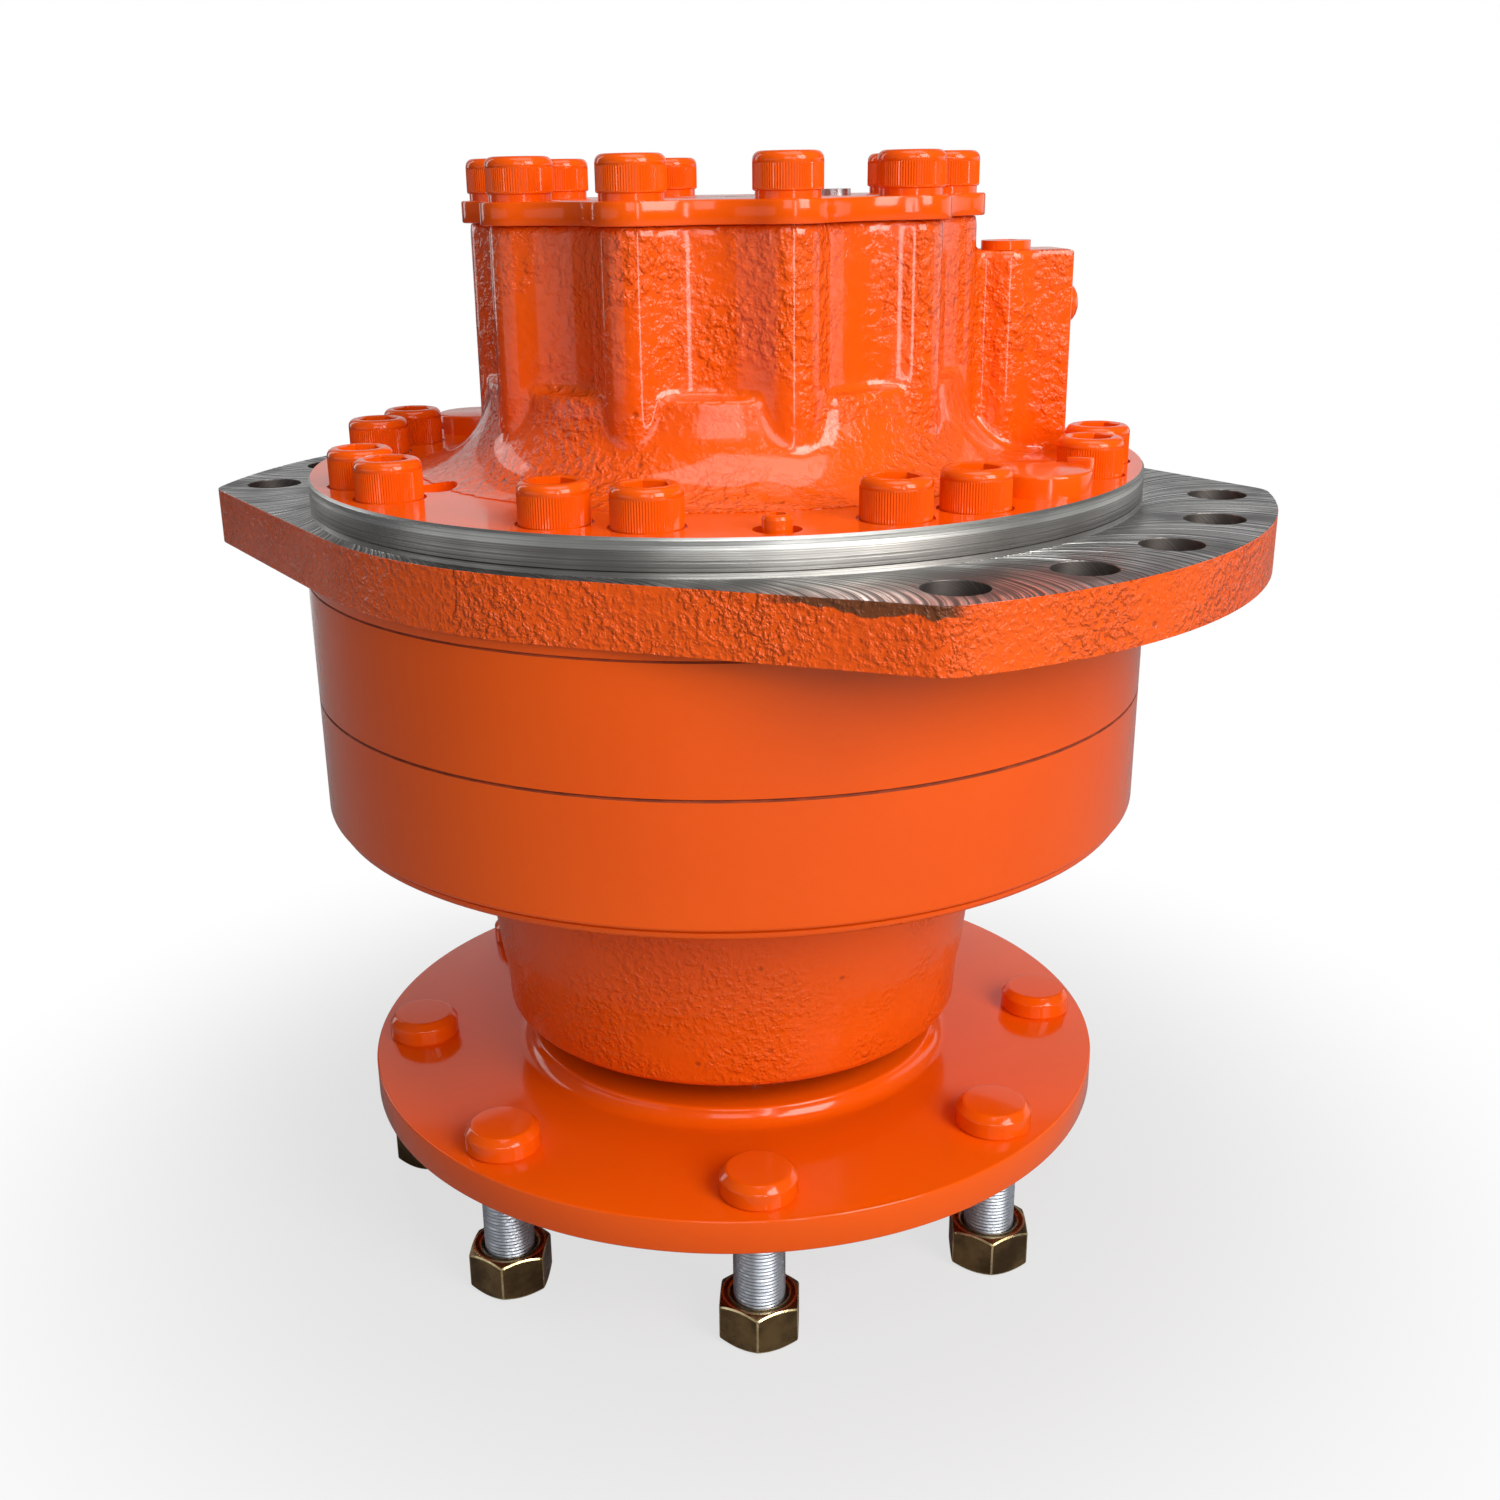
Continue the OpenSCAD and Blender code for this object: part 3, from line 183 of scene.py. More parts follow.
world = bpy.data.worlds.new("studio_white")
bpy.context.scene.world = world
world.use_nodes = True
tree = world.node_tree
tree.nodes.clear()
path = tree.nodes.new("ShaderNodeLightPath")
soft_sky = tree.nodes.new("ShaderNodeBackground")
soft_sky.inputs["Color"].default_value = SKY_COLOUR
soft_sky.inputs["Strength"].default_value = SKY_STRENGTH
white_wall = tree.nodes.new("ShaderNodeBackground")
white_wall.inputs["Color"].default_value = (1, 1, 1, 1)
white_wall.inputs["Strength"].default_value = 1
choice = tree.nodes.new("ShaderNodeMixShader")
world_out = tree.nodes.new("ShaderNodeOutputWorld")
glossy_share = tree.nodes.new("ShaderNodeMath")
glossy_share.operation = "MULTIPLY_ADD"
glossy_share.inputs[1].default_value = WHITE_IN_GLOSS
tree.links.new(path.outputs["Is Glossy Ray"], glossy_share.inputs[0])
tree.links.new(path.outputs["Is Camera Ray"], glossy_share.inputs[2])
tree.links.new(glossy_share.outputs[0], choice.inputs["Fac"])
tree.links.new(soft_sky.outputs[0], choice.inputs[1])
tree.links.new(white_wall.outputs[0], choice.inputs[2])
tree.links.new(choice.outputs[0], world_out.inputs["Surface"])
print("sky strength:", SKY_STRENGTH)

# %% [markdown]
# The floor is matt grey to the light and to reflections. To the camera it fades into plain
# white with the distance from the motor, so only the soft shadow near the nuts is left.

# %% Floor
FLOOR_SIZE, FLOOR_GREY = 12, 0.34
FADE_START, FADE_END = 0.16, 0.42
WHITE_NEAR = 0.7

bpy.ops.mesh.primitive_plane_add(size=FLOOR_SIZE, location=(0, 0, cad_low.z - 0.2 * MM))
floor = bpy.context.object
floor.name = "studio_floor"
floor_paint = bpy.data.materials.new("pale_floor")
floor_paint.use_nodes = True
tree = floor_paint.node_tree
matt = tree.nodes["Principled BSDF"]
matt.inputs["Base Color"].default_value = (FLOOR_GREY, FLOOR_GREY, FLOOR_GREY, 1)
matt.inputs["Roughness"].default_value = 0.8
matt.inputs["Specular IOR Level"].default_value = 0.1
place = tree.nodes.new("ShaderNodeTexCoord")
reach = tree.nodes.new("ShaderNodeVectorMath")
reach.operation = "LENGTH"
tree.links.new(place.outputs["Object"], reach.inputs[0])
fade = tree.nodes.new("ShaderNodeMapRange")
fade.interpolation_type = "SMOOTHSTEP"
fade.inputs["From Min"].default_value = FADE_START
fade.inputs["From Max"].default_value = FADE_END
fade.inputs["To Min"].default_value = WHITE_NEAR
tree.links.new(reach.outputs["Value"], fade.inputs["Value"])
seen = tree.nodes.new("ShaderNodeLightPath")
whiten = tree.nodes.new("ShaderNodeMath")
whiten.operation = "MULTIPLY"
tree.links.new(fade.outputs[0], whiten.inputs[0])
tree.links.new(seen.outputs["Is Camera Ray"], whiten.inputs[1])
glow = tree.nodes.new("ShaderNodeEmission")
glow.inputs["Strength"].default_value = 1
blend = tree.nodes.new("ShaderNodeMixShader")
tree.links.new(whiten.outputs[0], blend.inputs["Fac"])
tree.links.new(matt.outputs[0], blend.inputs[1])
tree.links.new(glow.outputs[0], blend.inputs[2])
tree.links.new(blend.outputs[0], tree.nodes["Material Output"].inputs["Surface"])
floor.data.materials.append(floor_paint)
print("floor at", floor.location.z)

# %% [markdown]
# ## Shader groups
# Several finishes share an effect: the sand-cast skin under the paint, the slow drift of a
# sprayed colour, and the fine rings that a lathe leaves. Each effect is a node group with
# named sockets, built once, and every material that needs it places it with its own values.

# %% A small kit for node groups
def new_group(name, inputs, outputs):
    group = bpy.data.node_groups.new(name, "ShaderNodeTree")
    for label, kind, value in inputs:
        socket = group.interface.new_socket(label, in_out="INPUT", socket_type=kind)
        if value is not None:
            socket.default_value = value
    for label, kind in outputs:
        group.interface.new_socket(label, in_out="OUTPUT", socket_type=kind)
    start = group.nodes.new("NodeGroupInput")
    end = group.nodes.new("NodeGroupOutput")
    return group, start, end


def math_node(tree, operation, a, b=None, c=None):
    node = tree.nodes.new("ShaderNodeMath")
    node.operation = operation
    for socket, value in zip(node.inputs, (a, b, c)):
        if isinstance(value, bpy.types.NodeSocket):
            tree.links.new(value, socket)
        elif value is not None:
            socket.default_value = value
    return node.outputs[0]


def noise_node(tree, vector, scale, detail=2.0, rough=0.5):
    node = tree.nodes.new("ShaderNodeTexNoise")
    node.inputs["Detail"].default_value = detail
    node.inputs["Roughness"].default_value = rough
    tree.links.new(vector, node.inputs["Vector"])
    if isinstance(scale, bpy.types.NodeSocket):
        tree.links.new(scale, node.inputs["Scale"])
    else:
        node.inputs["Scale"].default_value = scale
    return node.outputs["Fac"]


def ramp_node(tree, value, low, high):
    node = tree.nodes.new("ShaderNodeMapRange")
    node.interpolation_type = "SMOOTHSTEP"
    tree.links.new(value, node.inputs["Value"])
    node.inputs["From Min"].default_value = low
    node.inputs["From Max"].default_value = high
    return node.outputs["Result"]


# %% [markdown]
# The cast skin has three scales: broad swells a finger wide, grains of sand about 2 mm
# across, and a few craters. Paint rounds them all off, so the noise is soft.

# %% Group: cast skin
SWELL_SCALE, PATCH_SCALE, CRATER_SCALE = 45, 26, 62

cast_skin, skin_in, skin_out = new_group(
    "cast_skin",
    [("Vector", "NodeSocketVector", None), ("Grain", "NodeSocketFloat", 420.0),
     ("Patchiness", "NodeSocketFloat", 0.5)],
    [("Height", "NodeSocketFloat"), ("Craters", "NodeSocketFloat")],
)
swell = noise_node(cast_skin, skin_in.outputs["Vector"], SWELL_SCALE, 2)
grain = noise_node(cast_skin, skin_in.outputs["Vector"], skin_in.outputs["Grain"], 2.5, 0.55)
grain = ramp_node(cast_skin, grain, 0.38, 0.72)
patches = noise_node(cast_skin, skin_in.outputs["Vector"], PATCH_SCALE, 2)
patches = ramp_node(cast_skin, patches, 0.36, 0.62)
thin = math_node(cast_skin, "SUBTRACT", 1.0, skin_in.outputs["Patchiness"])
cover_share = math_node(cast_skin, "MULTIPLY_ADD", patches, skin_in.outputs["Patchiness"], thin)
grain = math_node(cast_skin, "MULTIPLY", grain, cover_share)
pits = cast_skin.nodes.new("ShaderNodeTexVoronoi")
pits.inputs["Scale"].default_value = CRATER_SCALE
cast_skin.links.new(skin_in.outputs["Vector"], pits.inputs["Vector"])
crater = ramp_node(cast_skin, pits.outputs["Distance"], 0.1, 0.02)
height = math_node(cast_skin, "MULTIPLY_ADD", swell, 0.9, grain)
height = math_node(cast_skin, "MULTIPLY_ADD", crater, -0.5, height)
cast_skin.links.new(height, skin_out.inputs["Height"])
cast_skin.links.new(crater, skin_out.inputs["Craters"])
print("cast skin nodes:", len(cast_skin.nodes))

# %% [markdown]
# A sprayed colour is never even: it drifts a little over the width of a hand, and dust and
# runs change its gloss. This group gives one slow mask and one fine one.

# %% Group: paint drift
DRIFT_SCALE, DUST_SCALE = 9, 260

paint_drift, drift_in, drift_out = new_group(
    "paint_drift", [("Vector", "NodeSocketVector", None)],
    [("Slow", "NodeSocketFloat"), ("Fine", "NodeSocketFloat")],
)
slow = noise_node(paint_drift, drift_in.outputs["Vector"], DRIFT_SCALE, 2)
paint_drift.links.new(ramp_node(paint_drift, slow, 0.3, 0.7), drift_out.inputs["Slow"])
dust = noise_node(paint_drift, drift_in.outputs["Vector"], DUST_SCALE, 3)
paint_drift.links.new(ramp_node(paint_drift, dust, 0.35, 0.75), drift_out.inputs["Fine"])
print("paint drift nodes:", len(paint_drift.nodes))

# %% [markdown]
# A lathe tool leaves rings round the axis. Their depth only depends on the distance from
# the axis and on the height, so those two numbers are put together and read by a
# one-dimensional noise. A second, slow noise breaks the rings into stretches.

# %% Group: turning marks
turning, turn_in, turn_out = new_group(
    "turning_marks",
    [("Vector", "NodeSocketVector", None), ("Pitch", "NodeSocketFloat", 1500.0)],
    [("Height", "NodeSocketFloat"), ("Streaks", "NodeSocketFloat")],
)
split = turning.nodes.new("ShaderNodeSeparateXYZ")
turning.links.new(turn_in.outputs["Vector"], split.inputs[0])
x2 = math_node(turning, "MULTIPLY", split.outputs[0], split.outputs[0])
r2 = math_node(turning, "MULTIPLY_ADD", split.outputs[1], split.outputs[1], x2)
from_axis = math_node(turning, "SQRT", r2)
along = math_node(turning, "ADD", from_axis, split.outputs[2])
rings = turning.nodes.new("ShaderNodeTexNoise")
rings.noise_dimensions = "1D"
rings.inputs["Detail"].default_value = 3
paced = math_node(turning, "MULTIPLY", along, turn_in.outputs["Pitch"])
turning.links.new(paced, rings.inputs["W"])
rings.inputs["Scale"].default_value = 1
broken = noise_node(turning, turn_in.outputs["Vector"], 18, 3)
streaks = math_node(turning, "MULTIPLY", rings.outputs["Fac"], broken)
turning.links.new(rings.outputs["Fac"], turn_out.inputs["Height"])
turning.links.new(ramp_node(turning, streaks, 0.12, 0.42), turn_out.inputs["Streaks"])
print("turning marks nodes:", len(turning.nodes))

# %% [markdown]
# The flange's top wasn't turned but milled, by a cutter that ran round the ring and left an
# arc at each step. Seen from the axis, such an arc is the cutter's own circle, so its angle
# at each distance follows from the triangle of the axis, the cutter's middle and its edge.
# Both numbers are in metres: how far out the cutter ran, and its radius.

# %% Group: milling arcs
MILL_AT, MILL_R = 0.2, 0.04

milling, mill_in, mill_out = new_group(
    "milling_arcs",
    [("Vector", "NodeSocketVector", None), ("Pitch", "NodeSocketFloat", 90.0)],
    [("Height", "NodeSocketFloat"), ("Streaks", "NodeSocketFloat")],
)
split = milling.nodes.new("ShaderNodeSeparateXYZ")
milling.links.new(mill_in.outputs["Vector"], split.inputs[0])
side = math_node(milling, "SIGN", split.outputs[0])
x = math_node(milling, "MULTIPLY", split.outputs[0], side)
y = math_node(milling, "MULTIPLY", split.outputs[1], side)
turn = math_node(milling, "ARCTAN2", y, x)
r2 = math_node(milling, "MULTIPLY_ADD", y, y, math_node(milling, "MULTIPLY", x, x))
reach = math_node(milling, "SQRT", r2)
top_line = math_node(milling, "ADD", r2, MILL_AT ** 2 - MILL_R ** 2)
cosine = math_node(milling, "DIVIDE", top_line, math_node(milling, "MULTIPLY", reach, 2 * MILL_AT))
bend = math_node(milling, "ARCCOSINE", math_node(milling, "MINIMUM", cosine, 1.0))
wobble = noise_node(milling, mill_in.outputs["Vector"], 14, 2)
step = math_node(milling, "MULTIPLY_ADD", wobble, 0.03, math_node(milling, "SUBTRACT", turn, bend))
arcs = milling.nodes.new("ShaderNodeTexNoise")
arcs.noise_dimensions = "1D"
arcs.inputs["Detail"].default_value = 2.5
arcs.inputs["Scale"].default_value = 1
milling.links.new(math_node(milling, "MULTIPLY", step, mill_in.outputs["Pitch"]), arcs.inputs["W"])
patch = noise_node(milling, mill_in.outputs["Vector"], 30, 2)
lines = ramp_node(milling, arcs.outputs["Fac"], 0.42, 0.6)
streaks = math_node(milling, "MULTIPLY", lines, ramp_node(milling, patch, 0.3, 0.6))
milling.links.new(arcs.outputs["Fac"], mill_out.inputs["Height"])
milling.links.new(streaks, mill_out.inputs["Streaks"])
print("milling arcs nodes:", len(milling.nodes))

# %% [markdown]
# ## Materials
# Every material starts the same way: a Principled shader, the piece's own coordinates, and
# a bump. A helper sets these up and hands back the sockets that the recipe fills in.

# %% Material starter
def new_material(name, metallic=0.0, roughness=0.4, coat=0.0):
    material = bpy.data.materials.new(name)
    material.use_nodes = True
    tree = material.node_tree
    shader = tree.nodes["Principled BSDF"]
    shader.inputs["Metallic"].default_value = metallic
    shader.inputs["Roughness"].default_value = roughness
    shader.inputs["Coat Weight"].default_value = coat
    shader.inputs["Coat Roughness"].default_value = 0.06
    place = tree.nodes.new("ShaderNodeTexCoord").outputs["Object"]
    return material, tree, shader, place


def group_node(tree, group, vector, **values):
    node = tree.nodes.new("ShaderNodeGroup")
    node.node_tree = group
    tree.links.new(vector, node.inputs["Vector"])
    for label, value in values.items():
        node.inputs[label].default_value = value
    return node


def mix_colours(tree, mask, first, second):
    node = tree.nodes.new("ShaderNodeMix")
    node.data_type = "RGBA"
    tree.links.new(mask, node.inputs["Factor"])
    for socket, value in ((node.inputs[6], first), (node.inputs[7], second)):
        if isinstance(value, bpy.types.NodeSocket):
            tree.links.new(value, socket)
        else:
            socket.default_value = (*value, 1)
    return node.outputs[2]


def span(tree, mask, low, high):
    node = tree.nodes.new("ShaderNodeMapRange")
    tree.links.new(mask, node.inputs["Value"])
    node.inputs["To Min"].default_value = low
    node.inputs["To Max"].default_value = high
    return node.outputs["Result"]


def bump(tree, shader, height, depth):
    node = tree.nodes.new("ShaderNodeBump")
    node.inputs["Strength"].default_value = 1
    node.inputs["Distance"].default_value = depth
    tree.links.new(height, node.inputs["Height"])
    tree.links.new(node.outputs["Normal"], shader.inputs["Normal"])


# %% [markdown]
# The paint is one colour in two skins. On turned iron it lies smooth and shows long clean
# reflections. On cast iron every grain below it catches the light, and its craters are
# painted darker, a painted shade in the pits. The recipe is the same, and only the depth of
# the skin and the gloss change. The gun also missed a short strip under the flange's top
# edge, in front, where the steel has stained.

# %% Paint
ORANGE = (0.86, 0.1, 0.001)
ORANGE_DEEP = (0.82, 0.088, 0.001)
ORANGE_CHALKY = (0.87, 0.115, 0.004)
# painted shade for the craters of the cast skin
CRATER_SHADE = (0.25, 0.03, 0.004)
STAIN = (0.16, 0.045, 0.012)


def orange_paint(name, depth, grain, patchiness, gloss, coat=0.25, stained=False, chalk=0.25):
    material, tree, shader, place = new_material(name, roughness=gloss, coat=coat)
    shader.inputs["Specular IOR Level"].default_value = 0.3
    drift = group_node(tree, paint_drift, place)
    colour = mix_colours(tree, drift.outputs["Slow"], ORANGE_DEEP, ORANGE)
    fine = math_node(tree, "MULTIPLY", drift.outputs["Fine"], chalk)
    colour = mix_colours(tree, fine, colour, ORANGE_CHALKY)
    skin = group_node(tree, cast_skin, place, Grain=grain, Patchiness=patchiness)
    # the craters of a deep cast skin are darkened: painted shade in the pits
    crater_shade = math_node(tree, "MULTIPLY", skin.outputs["Craters"], 0.5 if depth > 0.0001 else 0.0)
    colour = mix_colours(tree, crater_shade, colour, CRATER_SHADE)
    if stained:
        colour = mix_colours(tree, missed_strip(tree, place), colour, STAIN)
    tree.links.new(colour, shader.inputs["Base Color"])
    tree.links.new(span(tree, drift.outputs["Fine"], gloss - 0.03, gloss + 0.05),
                   shader.inputs["Roughness"])
    bump(tree, shader, skin.outputs["Height"], depth)
    return material


def missed_strip(tree, place):
    split = tree.nodes.new("ShaderNodeSeparateXYZ")
    tree.links.new(place, split.inputs[0])
    ragged = noise_node(tree, place, 45, 4)
    edge = math_node(tree, "MULTIPLY_ADD", ragged, 0.016, split.outputs[2])
    high = ramp_node(tree, edge, flange_top + 5.3 * MM, flange_top + 6 * MM)
    start = ramp_node(tree, split.outputs[0], 0.118, 0.135)
    end = ramp_node(tree, split.outputs[0], 0.182, 0.176)
    front = ramp_node(tree, split.outputs[1], -0.09, -0.1)
    return math_node(tree, "MULTIPLY", math_node(tree, "MULTIPLY", high, start),
                     math_node(tree, "MULTIPLY", end, front))


paint_smooth = orange_paint("paint_on_turned_iron", depth=0.000005, grain=120, patchiness=1.0,
                            gloss=0.15, coat=0.2, chalk=0.1)
paint_cast = orange_paint("paint_on_cast_iron", depth=0.0012, grain=400, patchiness=0.7,
                          gloss=0.24, stained=True)
paint_tower = orange_paint("paint_on_smooth_casting", depth=0.001, grain=290, patchiness=0.9,
                           gloss=0.18, coat=0.65)
paint_neck = orange_paint("paint_on_fine_casting", depth=0.0006, grain=380, patchiness=0.9,
                          gloss=0.36)
print("paints:", [m.name for m in (paint_smooth, paint_cast, paint_tower, paint_neck)])

# %% [markdown]
# Bare steel is metal all through, so its colour is the colour of its reflections. Rings
# from the lathe and streaks of oil give it life. Each steel has a light and a dark tone, a
# roughness, the pitch of its marks and their depth in metres.

# %% Steels
def steel(name, light, dark, roughness, pitch, depth, effect=turning):
    material, tree, shader, place = new_material(name, metallic=1.0, roughness=roughness)
    marks = group_node(tree, effect, place, Pitch=pitch)
    colour = mix_colours(tree, marks.outputs["Streaks"], dark, light)
    tree.links.new(colour, shader.inputs["Base Color"])
    tree.links.new(span(tree, marks.outputs["Streaks"], roughness + 0.12, roughness - 0.04),
                   shader.inputs["Roughness"])
    bump(tree, shader, marks.outputs["Height"], depth)
    return material


turned_steel = steel("bare_turned_steel", (0.5, 0.49, 0.46), (0.2, 0.19, 0.18), 0.3, 1600, 0.00012)
milled_steel = steel("bare_milled_steel", (0.85, 0.84, 0.81), (0.16, 0.16, 0.155), 0.3, 95,
                     0.0012, milling)
bright_steel = steel("bright_steel_edge", (0.72, 0.72, 0.7), (0.4, 0.4, 0.38), 0.3, 1300, 0.0001)
hole_steel = steel("drilled_steel", (0.26, 0.24, 0.22), (0.16, 0.14, 0.13), 0.42, 900, 0.00004)
ground_steel = steel("ground_steel", (0.62, 0.63, 0.64), (0.45, 0.46, 0.48), 0.22, 2400, 0.00003)
dark_steel = steel("hardened_steel", (0.3, 0.31, 0.33), (0.2, 0.2, 0.22), 0.3, 2000, 0.00004)
zinc_thread = steel("zinc_thread", (0.68, 0.72, 0.78), (0.44, 0.47, 0.52), 0.34, 700, 0.00003)
print("materials so far:", len(bpy.data.materials))

# %% [markdown]
# The nuts are plated in a dark yellow zinc that has rubbed through to brass-bright metal
# on every edge, and that bright edge is a painted highlight as well. Their bevelled edges
# are faces of their own, so they get a material of their own instead of a computed mask.
# The chamfers of the body's two seams get a darker orange, a painted shade in the seams.
# The numbers are two tones, metal or not, roughness, the scale of the blotches, and depth.

# %% Nut, seam and seal finishes
def blotchy(name, light, dark, metallic, roughness, scale, depth):
    material, tree, shader, place = new_material(name, metallic=metallic, roughness=roughness)
    blotch = ramp_node(tree, noise_node(tree, place, scale, 4, 0.6), 0.35, 0.68)
    tree.links.new(mix_colours(tree, blotch, dark, light), shader.inputs["Base Color"])
    tree.links.new(span(tree, blotch, roughness + 0.1, roughness - 0.05), shader.inputs["Roughness"])
    bump(tree, shader, noise_node(tree, place, scale * 6, 2), depth)
    return material


nut_plating = blotchy("dark_yellow_zinc", (0.3, 0.2, 0.09), (0.11, 0.07, 0.034), 1.0, 0.24, 60, 0.0001)
# the nut's bevels: wear and a painted highlight on every edge
nut_edge_wear_and_glint = blotchy("rubbed_and_highlit_edges", (0.85, 0.7, 0.42), (0.55, 0.42, 0.2), 1.0, 0.25, 240, 0.00004)
seal_rubber = blotchy("seal_rubber", (0.03, 0.03, 0.032), (0.012, 0.012, 0.013), 0.0, 0.6, 90, 0.00005)
# painted shade for the chamfers of the body's seams
seam_shade = blotchy("shade_in_the_seams", (0.34, 0.04, 0.002), (0.2, 0.025, 0.002), 0.0, 0.7, 90, 0.00002)
lining = blotchy("sintered_lining", (0.36, 0.24, 0.13), (0.2, 0.14, 0.08), 0.6, 0.55, 300, 0.00008)
print("materials:", len(bpy.data.materials))

# %% [markdown]
# ## A modeller's helpers
# Operators act on what is selected, so the first helper picks a piece and nothing else. A
# mesh that was built from scratch is tidied: points that lie in one place are merged, and
# all faces are turned outwards.

# %% Selecting and editing
def pick(*objects):
    bpy.ops.object.select_all(action="DESELECT")
    for one in objects:
        one.select_set(True)
    bpy.context.view_layer.objects.active = objects[0]


def start_editing(piece):
    pick(piece)
    bpy.ops.object.mode_set(mode="EDIT")
    bpy.ops.mesh.select_all(action="SELECT")


def stop_editing():
    bpy.ops.object.mode_set(mode="OBJECT")


def tidy_mesh(piece, distance=0.00001):
    start_editing(piece)
    bpy.ops.mesh.remove_doubles(threshold=distance)
    bpy.ops.mesh.normals_make_consistent(inside=False)
    stop_editing()


def smooth(piece, angle=32):
    pick(piece)
    bpy.ops.object.shade_smooth_by_angle(angle=math.radians(angle))


# %% [markdown]
# A turned part is a profile spun about the axis. The profile is drawn as a chain of edges
# in millimetres, radius first, then the spin operator sweeps it all the way round.

# %% Turning on the lathe
def turned(name, profile, steps=192):
    mesh = bpy.data.meshes.new(name)
    points = [(r * MM, 0, z * MM) for r, z in profile]
    closed = [(i, i + 1) for i in range(len(points) - 1)]
    if profile[0][0] > 0:
        closed.append((len(points) - 1, 0))
    mesh.from_pydata(points, closed, [])
    piece = bpy.data.objects.new(name, mesh)
    bpy.context.collection.objects.link(piece)
    start_editing(piece)
    bpy.ops.mesh.spin(steps=steps, angle=2 * math.pi, center=(0, 0, 0), axis=(0, 0, 1))
    stop_editing()
    tidy_mesh(piece)
    return piece


def arc(centre_r, centre_z, radius, start, end, steps):
    return [(centre_r + radius * math.cos(math.radians(start + (end - start) * k / steps)),
             centre_z + radius * math.sin(math.radians(start + (end - start) * k / steps)))
            for k in range(steps + 1)]


# %% [markdown]
# Some pieces wear several finishes, and then a chooser looks at each face and says which.
# At the end each piece is handed to the frame: it rides on a body, and it stands for a node
# of the engineering model, which is hidden.

# %% Finishes by face, and handing over
def paint_by_face(piece, materials, chooser):
    piece.data.materials.clear()
    for material in materials:
        piece.data.materials.append(material)
    for face in piece.data.polygons:
        face.material_index = chooser(face)


def dress(piece, body, slot, *stands_for):
    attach(piece, body)
    if stands_for:
        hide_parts(*stands_for)
    print(piece.name, "faces:", len(piece.data.polygons))
    return piece


# %% [markdown]
# ## The body
# Neck and body are one casting, turned smooth on the outside above the lip and left as cast
# on the neck. It is spun from its profile, and the faces below the lip get the cast paint.

# %% Bearing housing
NECK, LIP = 33, 129
housing = turned("housing_shell", [
    (82, NECK), (91, NECK), *arc(91, 40, 7, -90, -20, 6), (98.3, 51), (100.4, 62), (102.4, 78),
    (103.5, 92), *arc(128.5, 104, 25, 180, 90, 10), (161.3, LIP), *arc(162.2, LIP + 2, 2, -90, 0, 4),
    (164.2, 131.9), (163.3, 132.3), (163.3, 132.8), (165.3, 133.2),
    *arc(165.3, 134.4, 1.2, -90, 0, 3)[1:], (166.5, 134.8), (166.5, 135.6), (166.5, 179.4),
    (165.9, 180), (124, 180), (116, 174), (116, 152), (78, 150), (78, 128), (66, 97), (66, 86),
    (80.2, 84), (80.2, 49), (82, 49),
])


# the chamfer at the seam gets the darker orange of painted shade
def housing_face(face):
    if face.center.z > seam_z - 0.7 * MM and face.normal.z > 0.3:
        return 2
    return 1 if face.center.z > (LIP + 1) * MM else 0


paint_by_face(housing, [paint_neck, paint_smooth, seam_shade], housing_face)
smooth(housing, 40)
dress(housing, CASE, "orange_paint", "bearing_housing")

# %% [markdown]
# The cam ring sits on the body behind a seam as fine as a hair. The seam shows because both
# rings have a small chamfer, and these chamfers are painted a darker orange, a painted shade
# in the seam. A second such seam runs above it, under the flange's seat.

# %% Cam ring
ring = turned("cam_ring_shell", [
    (130, 180), (165.9, 180), (166.5, 180.6), (166.5, 226.3), (165.9, 227), (130, 227),
])


# the ring's chamfers at both seams get the darker orange of painted shade
def ring_face(face):
    on_rim = math.hypot(*face.center.xy) > 165.5 * MM
    return 1 if on_rim and abs(face.normal.z) > 0.3 else 0


paint_by_face(ring, [paint_smooth, seam_shade], ring_face)
smooth(ring, 25)
dress(ring, CASE, "orange_paint", "cam_ring")

# %% [markdown]
# ## The chassis flange
# The flange's outline comes straight from the engineering model: a copy of the node is
# merged, its flat faces are dissolved into single faces, and its edges are broken with a
# small bevel. Then each face gets its finish by where it is and points: bare steel on top
# and in the holes, thick cast paint round the edge.

# %% Copying a node and breaking its edges
def apply_all(piece):
    pick(piece)
    for modifier in list(piece.modifiers):
        bpy.ops.object.modifier_apply(modifier=modifier.name)


def bevel(piece, width, segments=2, angle=35, material=-1):
    modifier = piece.modifiers.new("rounded_edges", "BEVEL")
    modifier.width = width
    modifier.segments = segments
    modifier.limit_method = "ANGLE"
    modifier.angle_limit = math.radians(angle)
    modifier.material = material
    modifier.use_clamp_overlap = True
    apply_all(piece)


def merged_copy(node, name):
    pick(nodes[node])
    piece = nodes[node].copy()
    piece.data = nodes[node].data.copy()
    piece.parent = None
    piece.matrix_world = Matrix.Identity(4)
    piece.name = name
    for key in list(piece.keys()):
        if key.startswith("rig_"):
            del piece[key]
    bpy.context.collection.objects.link(piece)
    piece.data.materials.clear()
    tidy_mesh(piece)
    return piece


def dissolve_flats(piece, angle=1.0):
    start_editing(piece)
    bpy.ops.mesh.dissolve_limited(angle_limit=math.radians(angle))
    stop_editing()


# %% [markdown]
# A face inside a bolt hole is found by its distance from the nearest hole, so the places of
# the ten holes are worked out first: five on each lug, 15 degrees apart on one circle.

# %% Flange
def polar(radius, degrees):
    return radius * math.cos(math.radians(degrees)), radius * math.sin(math.radians(degrees))


flange = merged_copy("chassis_flange", "chassis_flange_plate")
dissolve_flats(flange)
bevel(flange, 0.5 * MM, 2)
HOLE_CIRCLE, HOLE_STEPS = 191.5, (-30, -15, 0, 15, 30)
hole_places = [Vector(polar(HOLE_CIRCLE, side + step)) * MM
               for side in (0, 180) for step in HOLE_STEPS]
seat_top = seam_z + 50.5 * MM


